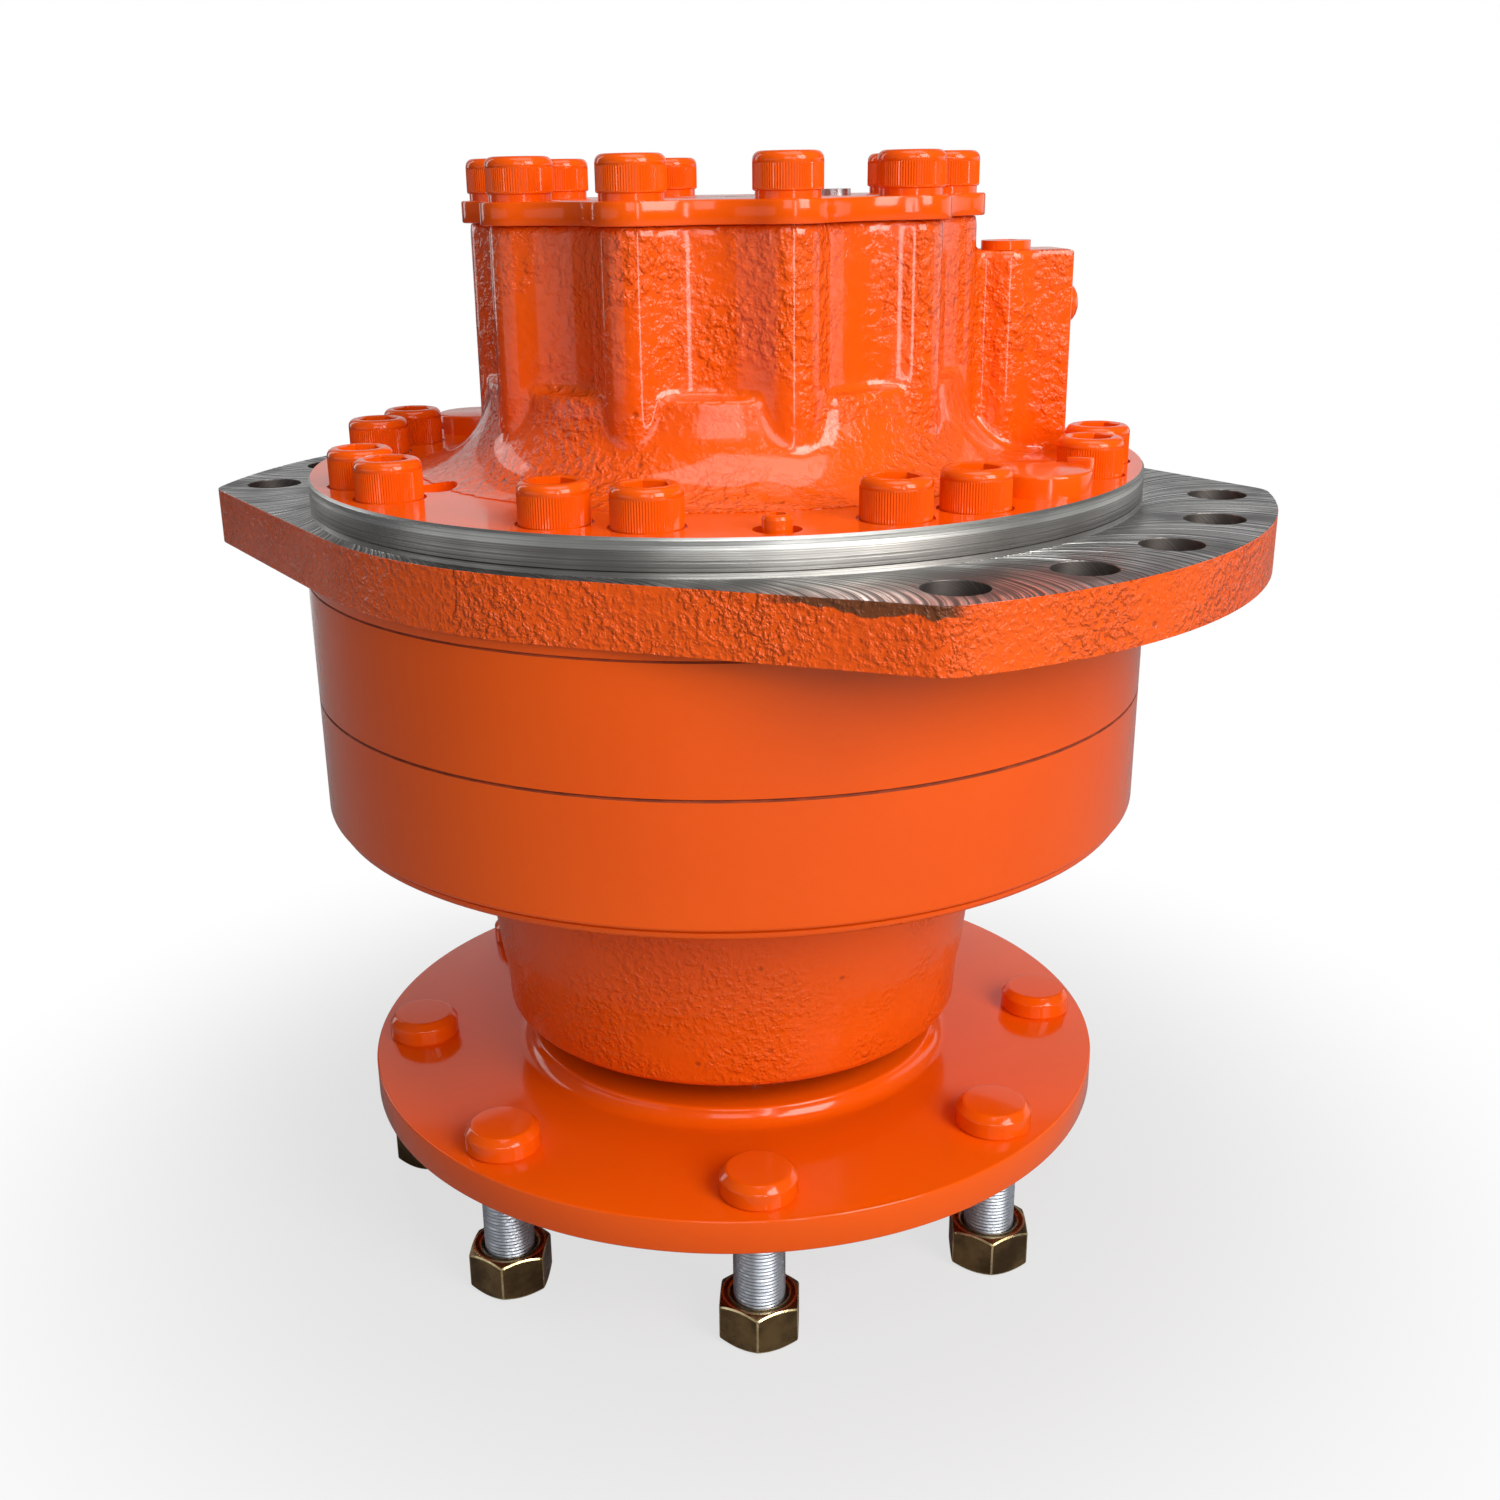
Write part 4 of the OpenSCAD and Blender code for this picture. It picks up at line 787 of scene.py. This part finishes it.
def flange_face(face):
    x, y, z = face.center
    reach = math.hypot(x, y)
    if face.normal.z > 0.7 and abs(z - flange_top) < 0.3 * MM:
        return 1
    to_hole = min(math.hypot(x - hole_x, y - hole_y) for hole_x, hole_y in hole_places)
    if to_hole < 12 * MM and abs(face.normal.z) < 0.9:
        return 2
    if reach < 160 * MM or z > flange_top:
        return 3
    return 0 if z > seat_top - 1 * MM else 4


paint_by_face(flange, [paint_cast, milled_steel, hole_steel, turned_steel, paint_smooth],
              flange_face)
smooth(flange, 20)
dress(flange, CASE, "orange_paint", "chassis_flange")

# %% [markdown]
# ## Pegs, slabs and cuts
# Holes, bosses and blocks begin as plain cylinders and boxes, measured in millimetres. A
# boolean adds them to a piece or cuts them away, and the tool is used up. Its material
# stays on the walls that it leaves, so a drilled hole can be bare steel in painted iron.

# %% Tools
def settle(piece):
    pick(piece)
    bpy.ops.object.transform_apply(location=True, rotation=True, scale=True)


def peg(name, radius, low, high, sides=64, turn=0.0, at=(0, 0)):
    bpy.ops.object.select_all(action="DESELECT")
    bpy.ops.mesh.primitive_cylinder_add(
        vertices=sides, radius=radius * MM, depth=(high - low) * MM,
        location=(at[0] * MM, at[1] * MM, (low + high) / 2 * MM),
        rotation=(0, 0, math.radians(turn)))
    piece = bpy.context.object
    piece.name = name
    settle(piece)
    return piece


def slab(name, low, high, turn):
    bpy.ops.object.select_all(action="DESELECT")
    middle = [(a + b) / 2 * MM for a, b in zip(low, high)]
    bpy.ops.mesh.primitive_cube_add(size=1, location=middle)
    piece = bpy.context.object
    piece.name = name
    piece.scale = [(b - a) * MM for a, b in zip(low, high)]
    settle(piece)
    piece.rotation_euler.z = math.radians(turn)
    settle(piece)
    return piece


def cut(piece, tool, operation="DIFFERENCE"):
    modifier = piece.modifiers.new("cut", "BOOLEAN")
    modifier.operation = operation
    modifier.solver = "EXACT"
    modifier.material_mode = "TRANSFER" if tool.data.materials else "INDEX"
    modifier.object = tool
    apply_all(piece)
    bpy.data.objects.remove(tool)


def join(name, pieces):
    pick(*pieces)
    bpy.ops.object.join()
    piece = bpy.context.object
    piece.name = name
    return piece


# %% [markdown]
# ## The cover's flange
# This disc is turned, so it is spun, and its spot faces and small recesses are cut with
# pegs. Its top is painted and its rim is bare. The screws sit in pairs, and the angles are
# counted from the flange's long axis.

# %% Cover flange
BASE, TOP = cover_z / MM, cover_flange_top / MM
SCREW_CIRCLE, PAIR_HALF = 145, 6.3
SMALL_SCREW_AT, RECESS_AT = polar(150.8, -45), polar(124.5, -110)
cover_disc = turned("cover_disc", [
    (112, BASE), (162.6, BASE), (163, BASE + 0.4), (163, TOP - 4.2), (162.9, TOP - 4),
    (162.9, TOP - 0.9), (162.2, TOP), (60, TOP), (60, BASE + 2), (112, BASE + 2),
], 256)
bosses = [peg("boss", 18, TOP - 2, TOP + 8, 64, 0, polar(141, a)) for a in (0, 180)]
for boss in bosses:
    bevel(boss, 1.2 * MM, 3, 40)
tab = slab("tab", (144, -2, TOP - 2), (153, 2, TOP + 10), 6.5)
bevel(tab, 0.6 * MM, 2, 40)
for extra in (*bosses, tab):
    cut(cover_disc, extra, "UNION")
SCREW_ANGLES = [45 * k + 22.5 + side * PAIR_HALF for k in range(8) for side in (-1, 1)]
tools = [peg("tool", 13, TOP - 1, TOP + 5, 48, 0, polar(SCREW_CIRCLE, a)) for a in SCREW_ANGLES]
tools.append(peg("tool", 8, TOP - 3, TOP + 5, 40, 0, SMALL_SCREW_AT))
tools.append(peg("tool", 9, TOP - 3, TOP + 5, 40, 0, RECESS_AT))
cut(cover_disc, join("pegs", tools))


def rim_face(face):
    if math.hypot(*face.center.xy) < 162.5 * MM or abs(face.normal.z) > 0.9:
        return 0
    return 1 if face.center.z < (TOP - 4) * MM else 2


paint_by_face(cover_disc, [paint_smooth, turned_steel, bright_steel], rim_face)
smooth(cover_disc, 30)
dress(cover_disc, CASE, "orange_paint", "cover")

# %% [markdown]
# ## The ribbed tower
# Ten columns carry the screws of the top plate, hollow arcs join them, and a skirt spreads
# the foot over the flange. On the sides stand a narrow lug and the block with the main
# ports. A foundry gives all of this soft corners, so the shapes are first stood into each
# other as plain solids, then fused by a voxel remesh and smoothed, which rounds every inner
# and outer corner at once. We begin with the outline: a ring of lobes with hollows between.

# %% Tower outline
COLUMNS, COLUMN_CIRCLE, COLUMN_R, HOLLOW_R = 10, 85.2, 11.7, 34


def lobed_radius(angle, count, circle, lobe, hollow):
    half = math.pi / count
    reach = lobe + hollow
    far = circle * math.cos(half) + math.sqrt(reach ** 2 - (circle * math.sin(half)) ** 2)
    turn = abs((angle + half) % (2 * half) - half)
    span_x, span_y = far * math.cos(half) - circle, far * math.sin(half)
    touch_x = circle + span_x * lobe / reach
    touch_y = span_y * lobe / reach
    if turn < math.atan2(touch_y, touch_x):
        return circle * math.cos(turn) + math.sqrt(lobe ** 2 - (circle * math.sin(turn)) ** 2)
    away = half - turn
    return far * math.cos(away) - math.sqrt(hollow ** 2 - (far * math.sin(away)) ** 2)


def lobed_block(name, low, high, count, circle, lobe, hollow, sides=360):
    block = peg(name, 1, low, high, sides)
    for v in block.data.vertices:
        angle = math.atan2(v.co.y, v.co.x)
        reach = lobed_radius(angle, count, circle, lobe, hollow) * MM
        v.co.x, v.co.y = reach * math.cos(angle), reach * math.sin(angle)
    return block


print("tower reaches from the axis:", lobed_radius(0, COLUMNS, COLUMN_CIRCLE, COLUMN_R, HOLLOW_R))

# %% [markdown]
# Now the solids themselves. The lug, the port block and the brake port's boss are built
# along the X axis and turned to their places.

# %% Tower casting
TOWER = tower_top / MM
LUG_TOP = TOWER - 13
LUG_TURN, PORT_TURN, BRAKE_TURN = 45, 135, 198
BRAKE_PORT_Z = TOWER - 30
VOXEL = 1.5 * MM


def sideways(piece, side, height, turn):
    piece.rotation_euler = (0, math.radians(90), 0)
    settle(piece)
    piece.location = (0, side * MM, height * MM)
    settle(piece)
    piece.rotation_euler = (0, 0, math.radians(turn))
    settle(piece)
    return piece


tower = lobed_block("tower", TOP - 2, TOWER, COLUMNS, COLUMN_CIRCLE, COLUMN_R, HOLLOW_R)
skirt = turned("skirt", [(0, TOP - 2), (127, TOP - 2), (127, TOP),
                         *arc(125, TOP + 33, 33, -90, -180, 14), (0, TOP + 36)], 180)
lug = slab("lug", (60, -14, TOP - 2), (135, 14, LUG_TOP), LUG_TURN)
boss = peg("boss", 12, TOP - 2, LUG_TOP, 48, 0, (110, -5))
boss.rotation_euler.z = math.radians(LUG_TURN)
settle(boss)
port_block = slab("port_block", (50, -62, TOP + 20), (136, 62, LUG_TOP), PORT_TURN)
port_neck = slab("port_neck", (50, -25, TOP - 2), (128, 25, TOP + 22), PORT_TURN)
brake_boss = sideways(peg("brake_boss", 13, 60, 96, 48), 0, BRAKE_PORT_Z, BRAKE_TURN)
casting = join("tower_casting", [tower, skirt, lug, boss, port_block, port_neck, brake_boss])
remesh = casting.modifiers.new("fuse", "REMESH")
remesh.mode = "VOXEL"
remesh.voxel_size = VOXEL
remesh.use_smooth_shade = True
soften = casting.modifiers.new("soften", "SMOOTH")
soften.factor = 0.5
soften.iterations = 8
apply_all(casting)
print("casting faces:", len(casting.data.polygons))

# %% [markdown]
# The remesh leaves a slab below the flange's top that would fight with it. So the foot is
# sliced off just above the surface, and the slice is drawn down into the flange, which
# leaves the low step where the cast skin ends and the turned face begins.

# %% Trim the casting's foot
start_editing(casting)
bpy.ops.mesh.bisect(plane_co=(0, 0, (TOP + 0.3) * MM), plane_no=(0, 0, 1), use_fill=True,
                    clear_inner=True)
bpy.ops.mesh.extrude_region_move(TRANSFORM_OT_translate={"value": (0, 0, -1 * MM)})
stop_editing()
casting.data.materials.append(paint_tower)
print("foot sliced at", TOP)

# %% [markdown]
# Ports are drilled and threaded. A thread is a row of ridges on the drill, as on the studs,
# and the boolean copies the drill's bare steel onto the walls that it leaves.

# %% Ports and the recess
PORT_SIDE, MAIN_PORT_Z = 31, (TOP + 20 + LUG_TOP) / 2


def threaded_drill(radius, low, high, pitch, depth):
    ridges, z = [], low + 0.5
    while z < high - pitch:
        ridges += [(radius - depth, z), (radius, z + pitch / 2)]
        z += pitch
    return ridges + [(radius, high)]


for side in (-PORT_SIDE, PORT_SIDE):
    drill = turned("main_port", [
        (0, 101), (12, 101), (12, 112), *threaded_drill(16.6, 112, 135, pitch=2.3, depth=1.2),
        (22.6, 135), (22.6, 140), (0, 140),
    ], 64)
    drill.data.materials.append(hole_steel)
    cut(casting, sideways(drill, side, MAIN_PORT_Z, PORT_TURN))
drill = turned("brake_port", [
    (0, 70), (2.5, 70), (2.5, 83), *threaded_drill(6.6, 83, 97, pitch=1.5, depth=0.8), (0, 97),
], 48)
drill.data.materials.append(hole_steel)
cut(casting, sideways(drill, 0, BRAKE_PORT_Z, BRAKE_TURN))
cut(casting, peg("recess", 9, TOP - 3, TOP + 17, 48, 0, RECESS_AT))
smooth(casting, 40)
dress(casting, CASE, "orange_paint", "cover")

# %% [markdown]
# ## Top plate
# A scalloped plate closes the brake. It follows the columns with a slightly wider lobe. Its
# two holes are a little wider than the plugs in them, so no two surfaces lie in each other.

# %% Top plate
PLATE, PLATE_LOBE_R = plate_top / MM, 14.5

plate = lobed_block("scalloped_plate", TOWER, PLATE, COLUMNS, COLUMN_CIRCLE, PLATE_LOBE_R, HOLLOW_R)
plug_low, plug_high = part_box("plate_plug")
plug_at = (plug_low + plug_high) / 2 / MM
cut(plate, join("plug_holes", [
    peg("hole", 15.3, TOWER - 1, PLATE + 1, 64),
    peg("hole", 5.3, TOWER - 1, PLATE + 1, 32, 0, plug_at.xy),
]))
bevel(plate, 0.7 * MM, 2, 40)
plate.data.materials.append(paint_smooth)
smooth(plate, 30)
dress(plate, CASE, "orange_paint", "top_plate")

# %% [markdown]
# ## Socket-head screws
# Twenty-six screws show, so the head is modelled once with care. A ring with twice as many
# points as knurls is extruded upwards, every second point is pulled in over the knurled
# stretch, the top edge is rounded, and the last ring is pressed into a hexagon and sunk.

# %% One screw head
KNURLS = 80


def hex_radius(angle, flats):
    sixth = math.pi / 3
    turn = (angle + sixth / 2) % sixth - sixth / 2
    return flats / 2 / math.cos(turn)


def screw_head(name, radius, height, band, flats, socket_depth):
    levels = [
        (radius * 0.93, 0, False), (radius * 0.93, band, False), (radius - 0.2, band + 0.3, False),
        (radius, band + 0.6, True), (radius, band + 1, True), (radius, height - 4, True),
        (radius, height - 3.6, True), (radius, height - 3.1, False), (radius, height - 2.7, False),
        (radius - 0.2, height - 1.7, False), (radius - 0.8, height - 0.8, False),
        (radius - 1.7, height - 0.2, False), (radius - 2.7, height, False),
    ]
    bpy.ops.object.select_all(action="DESELECT")
    bpy.ops.mesh.primitive_circle_add(vertices=2 * KNURLS, radius=radius * MM, fill_type="NGON")
    piece = bpy.context.object
    piece.name = name
    start_editing(piece)
    for _ in range(len(levels) + 3):
        bpy.ops.mesh.extrude_region_move(TRANSFORM_OT_translate={"value": (0, 0, MM)})
    stop_editing()
    rings = {}
    for v in piece.data.vertices:
        rings.setdefault(round(v.co.z / MM), []).append(v)
    tail = [(flats / 2 + 1.5, height, None), (0, height - 0.5, "hex"),
            (0, height - socket_depth, "hex")]
    for level, (_, ring) in zip([*levels, *tail, tail[-1]], sorted(rings.items())):
        reach, z, style = level
        for v in ring:
            angle = math.atan2(v.co.y, v.co.x)
            here = reach
            if style is True and round(angle / math.pi * KNURLS) % 2:
                here = reach - 0.3
            if style == "hex":
                here = hex_radius(angle, flats)
            v.co = Vector((here * math.cos(angle), here * math.sin(angle), z)) * MM
    tidy_mesh(piece)
    piece.data.materials.append(paint_smooth)
    smooth(piece, 38)
    print(name, "faces:", len(piece.data.polygons))
    return piece


# %% [markdown]
# The heads are 24 mm wide and 15 mm high, with a socket of 14 mm across flats that is 8 mm
# deep. Nobody lines the sockets up, so each screw gets a turn of its own. The screws of the
# plate show a plain band below their knurls.

# %% Both rings of screws
def copies_at(name, model, places):
    made = []
    for place in places:
        twin = model.copy()
        twin.data = model.data.copy()
        twin.matrix_world = place
        bpy.context.collection.objects.link(twin)
        made.append(twin)
    piece = join(name, made)
    settle(piece)
    bpy.data.objects.remove(model)
    return piece


def upright_at(radius, angle, z, turn=0.0):
    x, y = polar(radius, angle)
    return Matrix.Translation(Vector((x, y, z)) * MM) @ Matrix.Rotation(math.radians(turn), 4, "Z")


random.seed(7)
cap = screw_head("cap", radius=12, height=15, band=0.4, flats=14, socket_depth=8)
ring_screws = copies_at("ring_screws", cap, [
    upright_at(SCREW_CIRCLE, a, TOP - 1, random.uniform(0, 60)) for a in SCREW_ANGLES])
dress(ring_screws, CASE, "orange_paint", "cover_screws")
cap = screw_head("cap", radius=12, height=15, band=2.4, flats=14, socket_depth=8)
plate_screws = copies_at("plate_screws", cap, [
    upright_at(COLUMN_CIRCLE, 36 * k, PLATE, random.uniform(0, 60)) for k in range(COLUMNS)])
dress(plate_screws, CASE, "orange_paint", "top_screws")

# %% [markdown]
# ## Wheel disc
# The disc and its collar are turned from one forging. The fillet round the collar is what
# catches the light, so it gets its own arc in the profile.

# %% Wheel disc and shaft
wheel = turned("wheel_disc", [
    (0, -6), (40, -6), (46, -12), (108.4, -12), *arc(108.5, -10.5, 1.5, -90, 0, 3),
    (110, 0), (156.6, 0), *arc(156.7, 0.8, 0.8, -90, 0, 3), *arc(156.7, 13.2, 0.8, 0, 90, 3),
    *arc(96, 21, 7, -90, -168, 8), *arc(88.1, 19.1, 1.4, 0, 90, 3), (74, 20.5), (66, 18.5), (62, 18.5),
    (62, 49), (52, 49), (52, 84), (50, 84), (50, 95), (47, 98), (47, 130), (46, 146), (39, 150),
    (39, 200), (0, 200),
], 256)
wheel.data.materials.append(paint_smooth)
smooth(wheel, 32)
dress(wheel, ROTOR, "orange_paint", "wheel_shaft")

# %% [markdown]
# ## Studs and nuts
# A stud has a low head with a generous round edge, painted with the disc, and a shank
# with a fine zinc-plated thread. The thread is drawn into the profile as a row of small
# ridges, because at this size rings and a true helix look the same.

# %% Stud
REACH = -low_z("wheel_studs") / MM
STUD_CIRCLE, STUD_R, ROOT_R, PITCH = 137.5, 10, 9.62, 1.5
STUD_ANGLES = [-2.5 + 45 * k for k in range(8)]

ridges = []
z = -REACH + 1.6
while z < -3:
    ridges += [(ROOT_R, z), (STUD_R, z + PITCH / 2)]
    z += PITCH
stud = turned("stud", [
    (0, -REACH), (8.4, -REACH), *ridges, (STUD_R, 0), (STUD_R, 14.02), (14.2, 14.02),
    (14.3, 14.5), (14.9, 14.9), (14.9, 20.2), (14.9, 20.8), (14.75, 21.2), (14.5, 21.5),
    (12.7, 23.5), (12.3, 23.8), (11.8, 23.95), (11.2, 24), (0, 24),
], 56)
paint_by_face(stud, [zinc_thread, paint_smooth], lambda face: 1 if face.center.z > 13 * MM else 0)
smooth(stud, 50)
studs = copies_at("studs", stud, [upright_at(STUD_CIRCLE, a, 0) for a in STUD_ANGLES])
dress(studs, ROTOR, "zinc_steel", "wheel_studs")

# %% [markdown]
# The nut starts as a six-sided cylinder. A spun double cone trims its corners the way the
# real nut is chamfered, a peg drills it, and a fine bevel in a second material stands for
# the rubbed edges: worn bright, and with a painted highlight.

# %% Nut
NUT_LOW = low_z("wheel_nuts") / MM
FLATS, NUT_H = 30, (high_z("wheel_nuts") - low_z("wheel_nuts")) / MM
CONE_IN, CONE_OUT, CONE_RISE = 14.2, 18.6, 2.54

blank = peg("nut", FLATS / 2 / math.cos(math.radians(30)), NUT_LOW, NUT_LOW + NUT_H, 6)
cone = turned("cone", [
    (0, NUT_LOW), (CONE_IN, NUT_LOW), (CONE_OUT, NUT_LOW + CONE_RISE),
    (CONE_OUT, NUT_LOW + NUT_H - CONE_RISE), (CONE_IN, NUT_LOW + NUT_H), (0, NUT_LOW + NUT_H),
], 96)
cut(blank, cone, "INTERSECT")
cut(blank, peg("drill", 10.05, NUT_LOW - 2, NUT_LOW + NUT_H + 2, 48))
sink = turned("sink", [(0, NUT_LOW + NUT_H - 1.6), (10.2, NUT_LOW + NUT_H - 1.6),
                       (12.2, NUT_LOW + NUT_H + 0.4), (0, NUT_LOW + NUT_H + 0.4)], 48)
cut(blank, sink)
blank.data.materials.clear()
blank.data.materials.append(nut_plating)
blank.data.materials.append(nut_edge_wear_and_glint)
start_editing(blank)
bpy.ops.mesh.remove_doubles(threshold=0.45 * MM)
stop_editing()
# the bevel faces take the bright edge material, wear and a painted highlight
bevel(blank, 0.5 * MM, 1, 25, 1)
print("nut edge faces:", sum(face.material_index == 1 for face in blank.data.polygons))
smooth(blank, 25)
NUT_TURNS = [-24 + 2 * math.sin(5 * k) for k in range(8)]
nuts = copies_at("nuts", blank, [
    upright_at(STUD_CIRCLE, a, 0, turn) for a, turn in zip(STUD_ANGLES, NUT_TURNS)])
dress(nuts, ROTOR, "dark_zinc", "wheel_nuts")

# %% [markdown]
# ## What stays as it is
# The pieces inside never show at rest, and the engineering model's shapes are right, so
# they only change their finish.

# %% Finishes for the nodes that stay
STAYING = {
    "shaft_seal": seal_rubber, "case_o_rings": seal_rubber, "distributor_rings": seal_rubber,
    "brake_piston_rings": seal_rubber, "brake_inner_discs": lining,
    "cover_small_screw": paint_smooth, "drain_plug": paint_smooth, "passage_plug": paint_smooth,
    "front_bearing_cup": dark_steel, "front_bearing_cone": dark_steel,
    "rear_bearing_cup": dark_steel, "rear_bearing_cone": dark_steel, "bearing_nut": dark_steel,
    "distributor": dark_steel, "brake_outer_discs": dark_steel, "brake_springs": dark_steel,
}
for name, node in nodes.items():
    finish = STAYING.get(name, ground_steel)
    node.data.materials.clear()
    node.data.materials.append(finish)
print("nodes with a finish:", len(nodes))
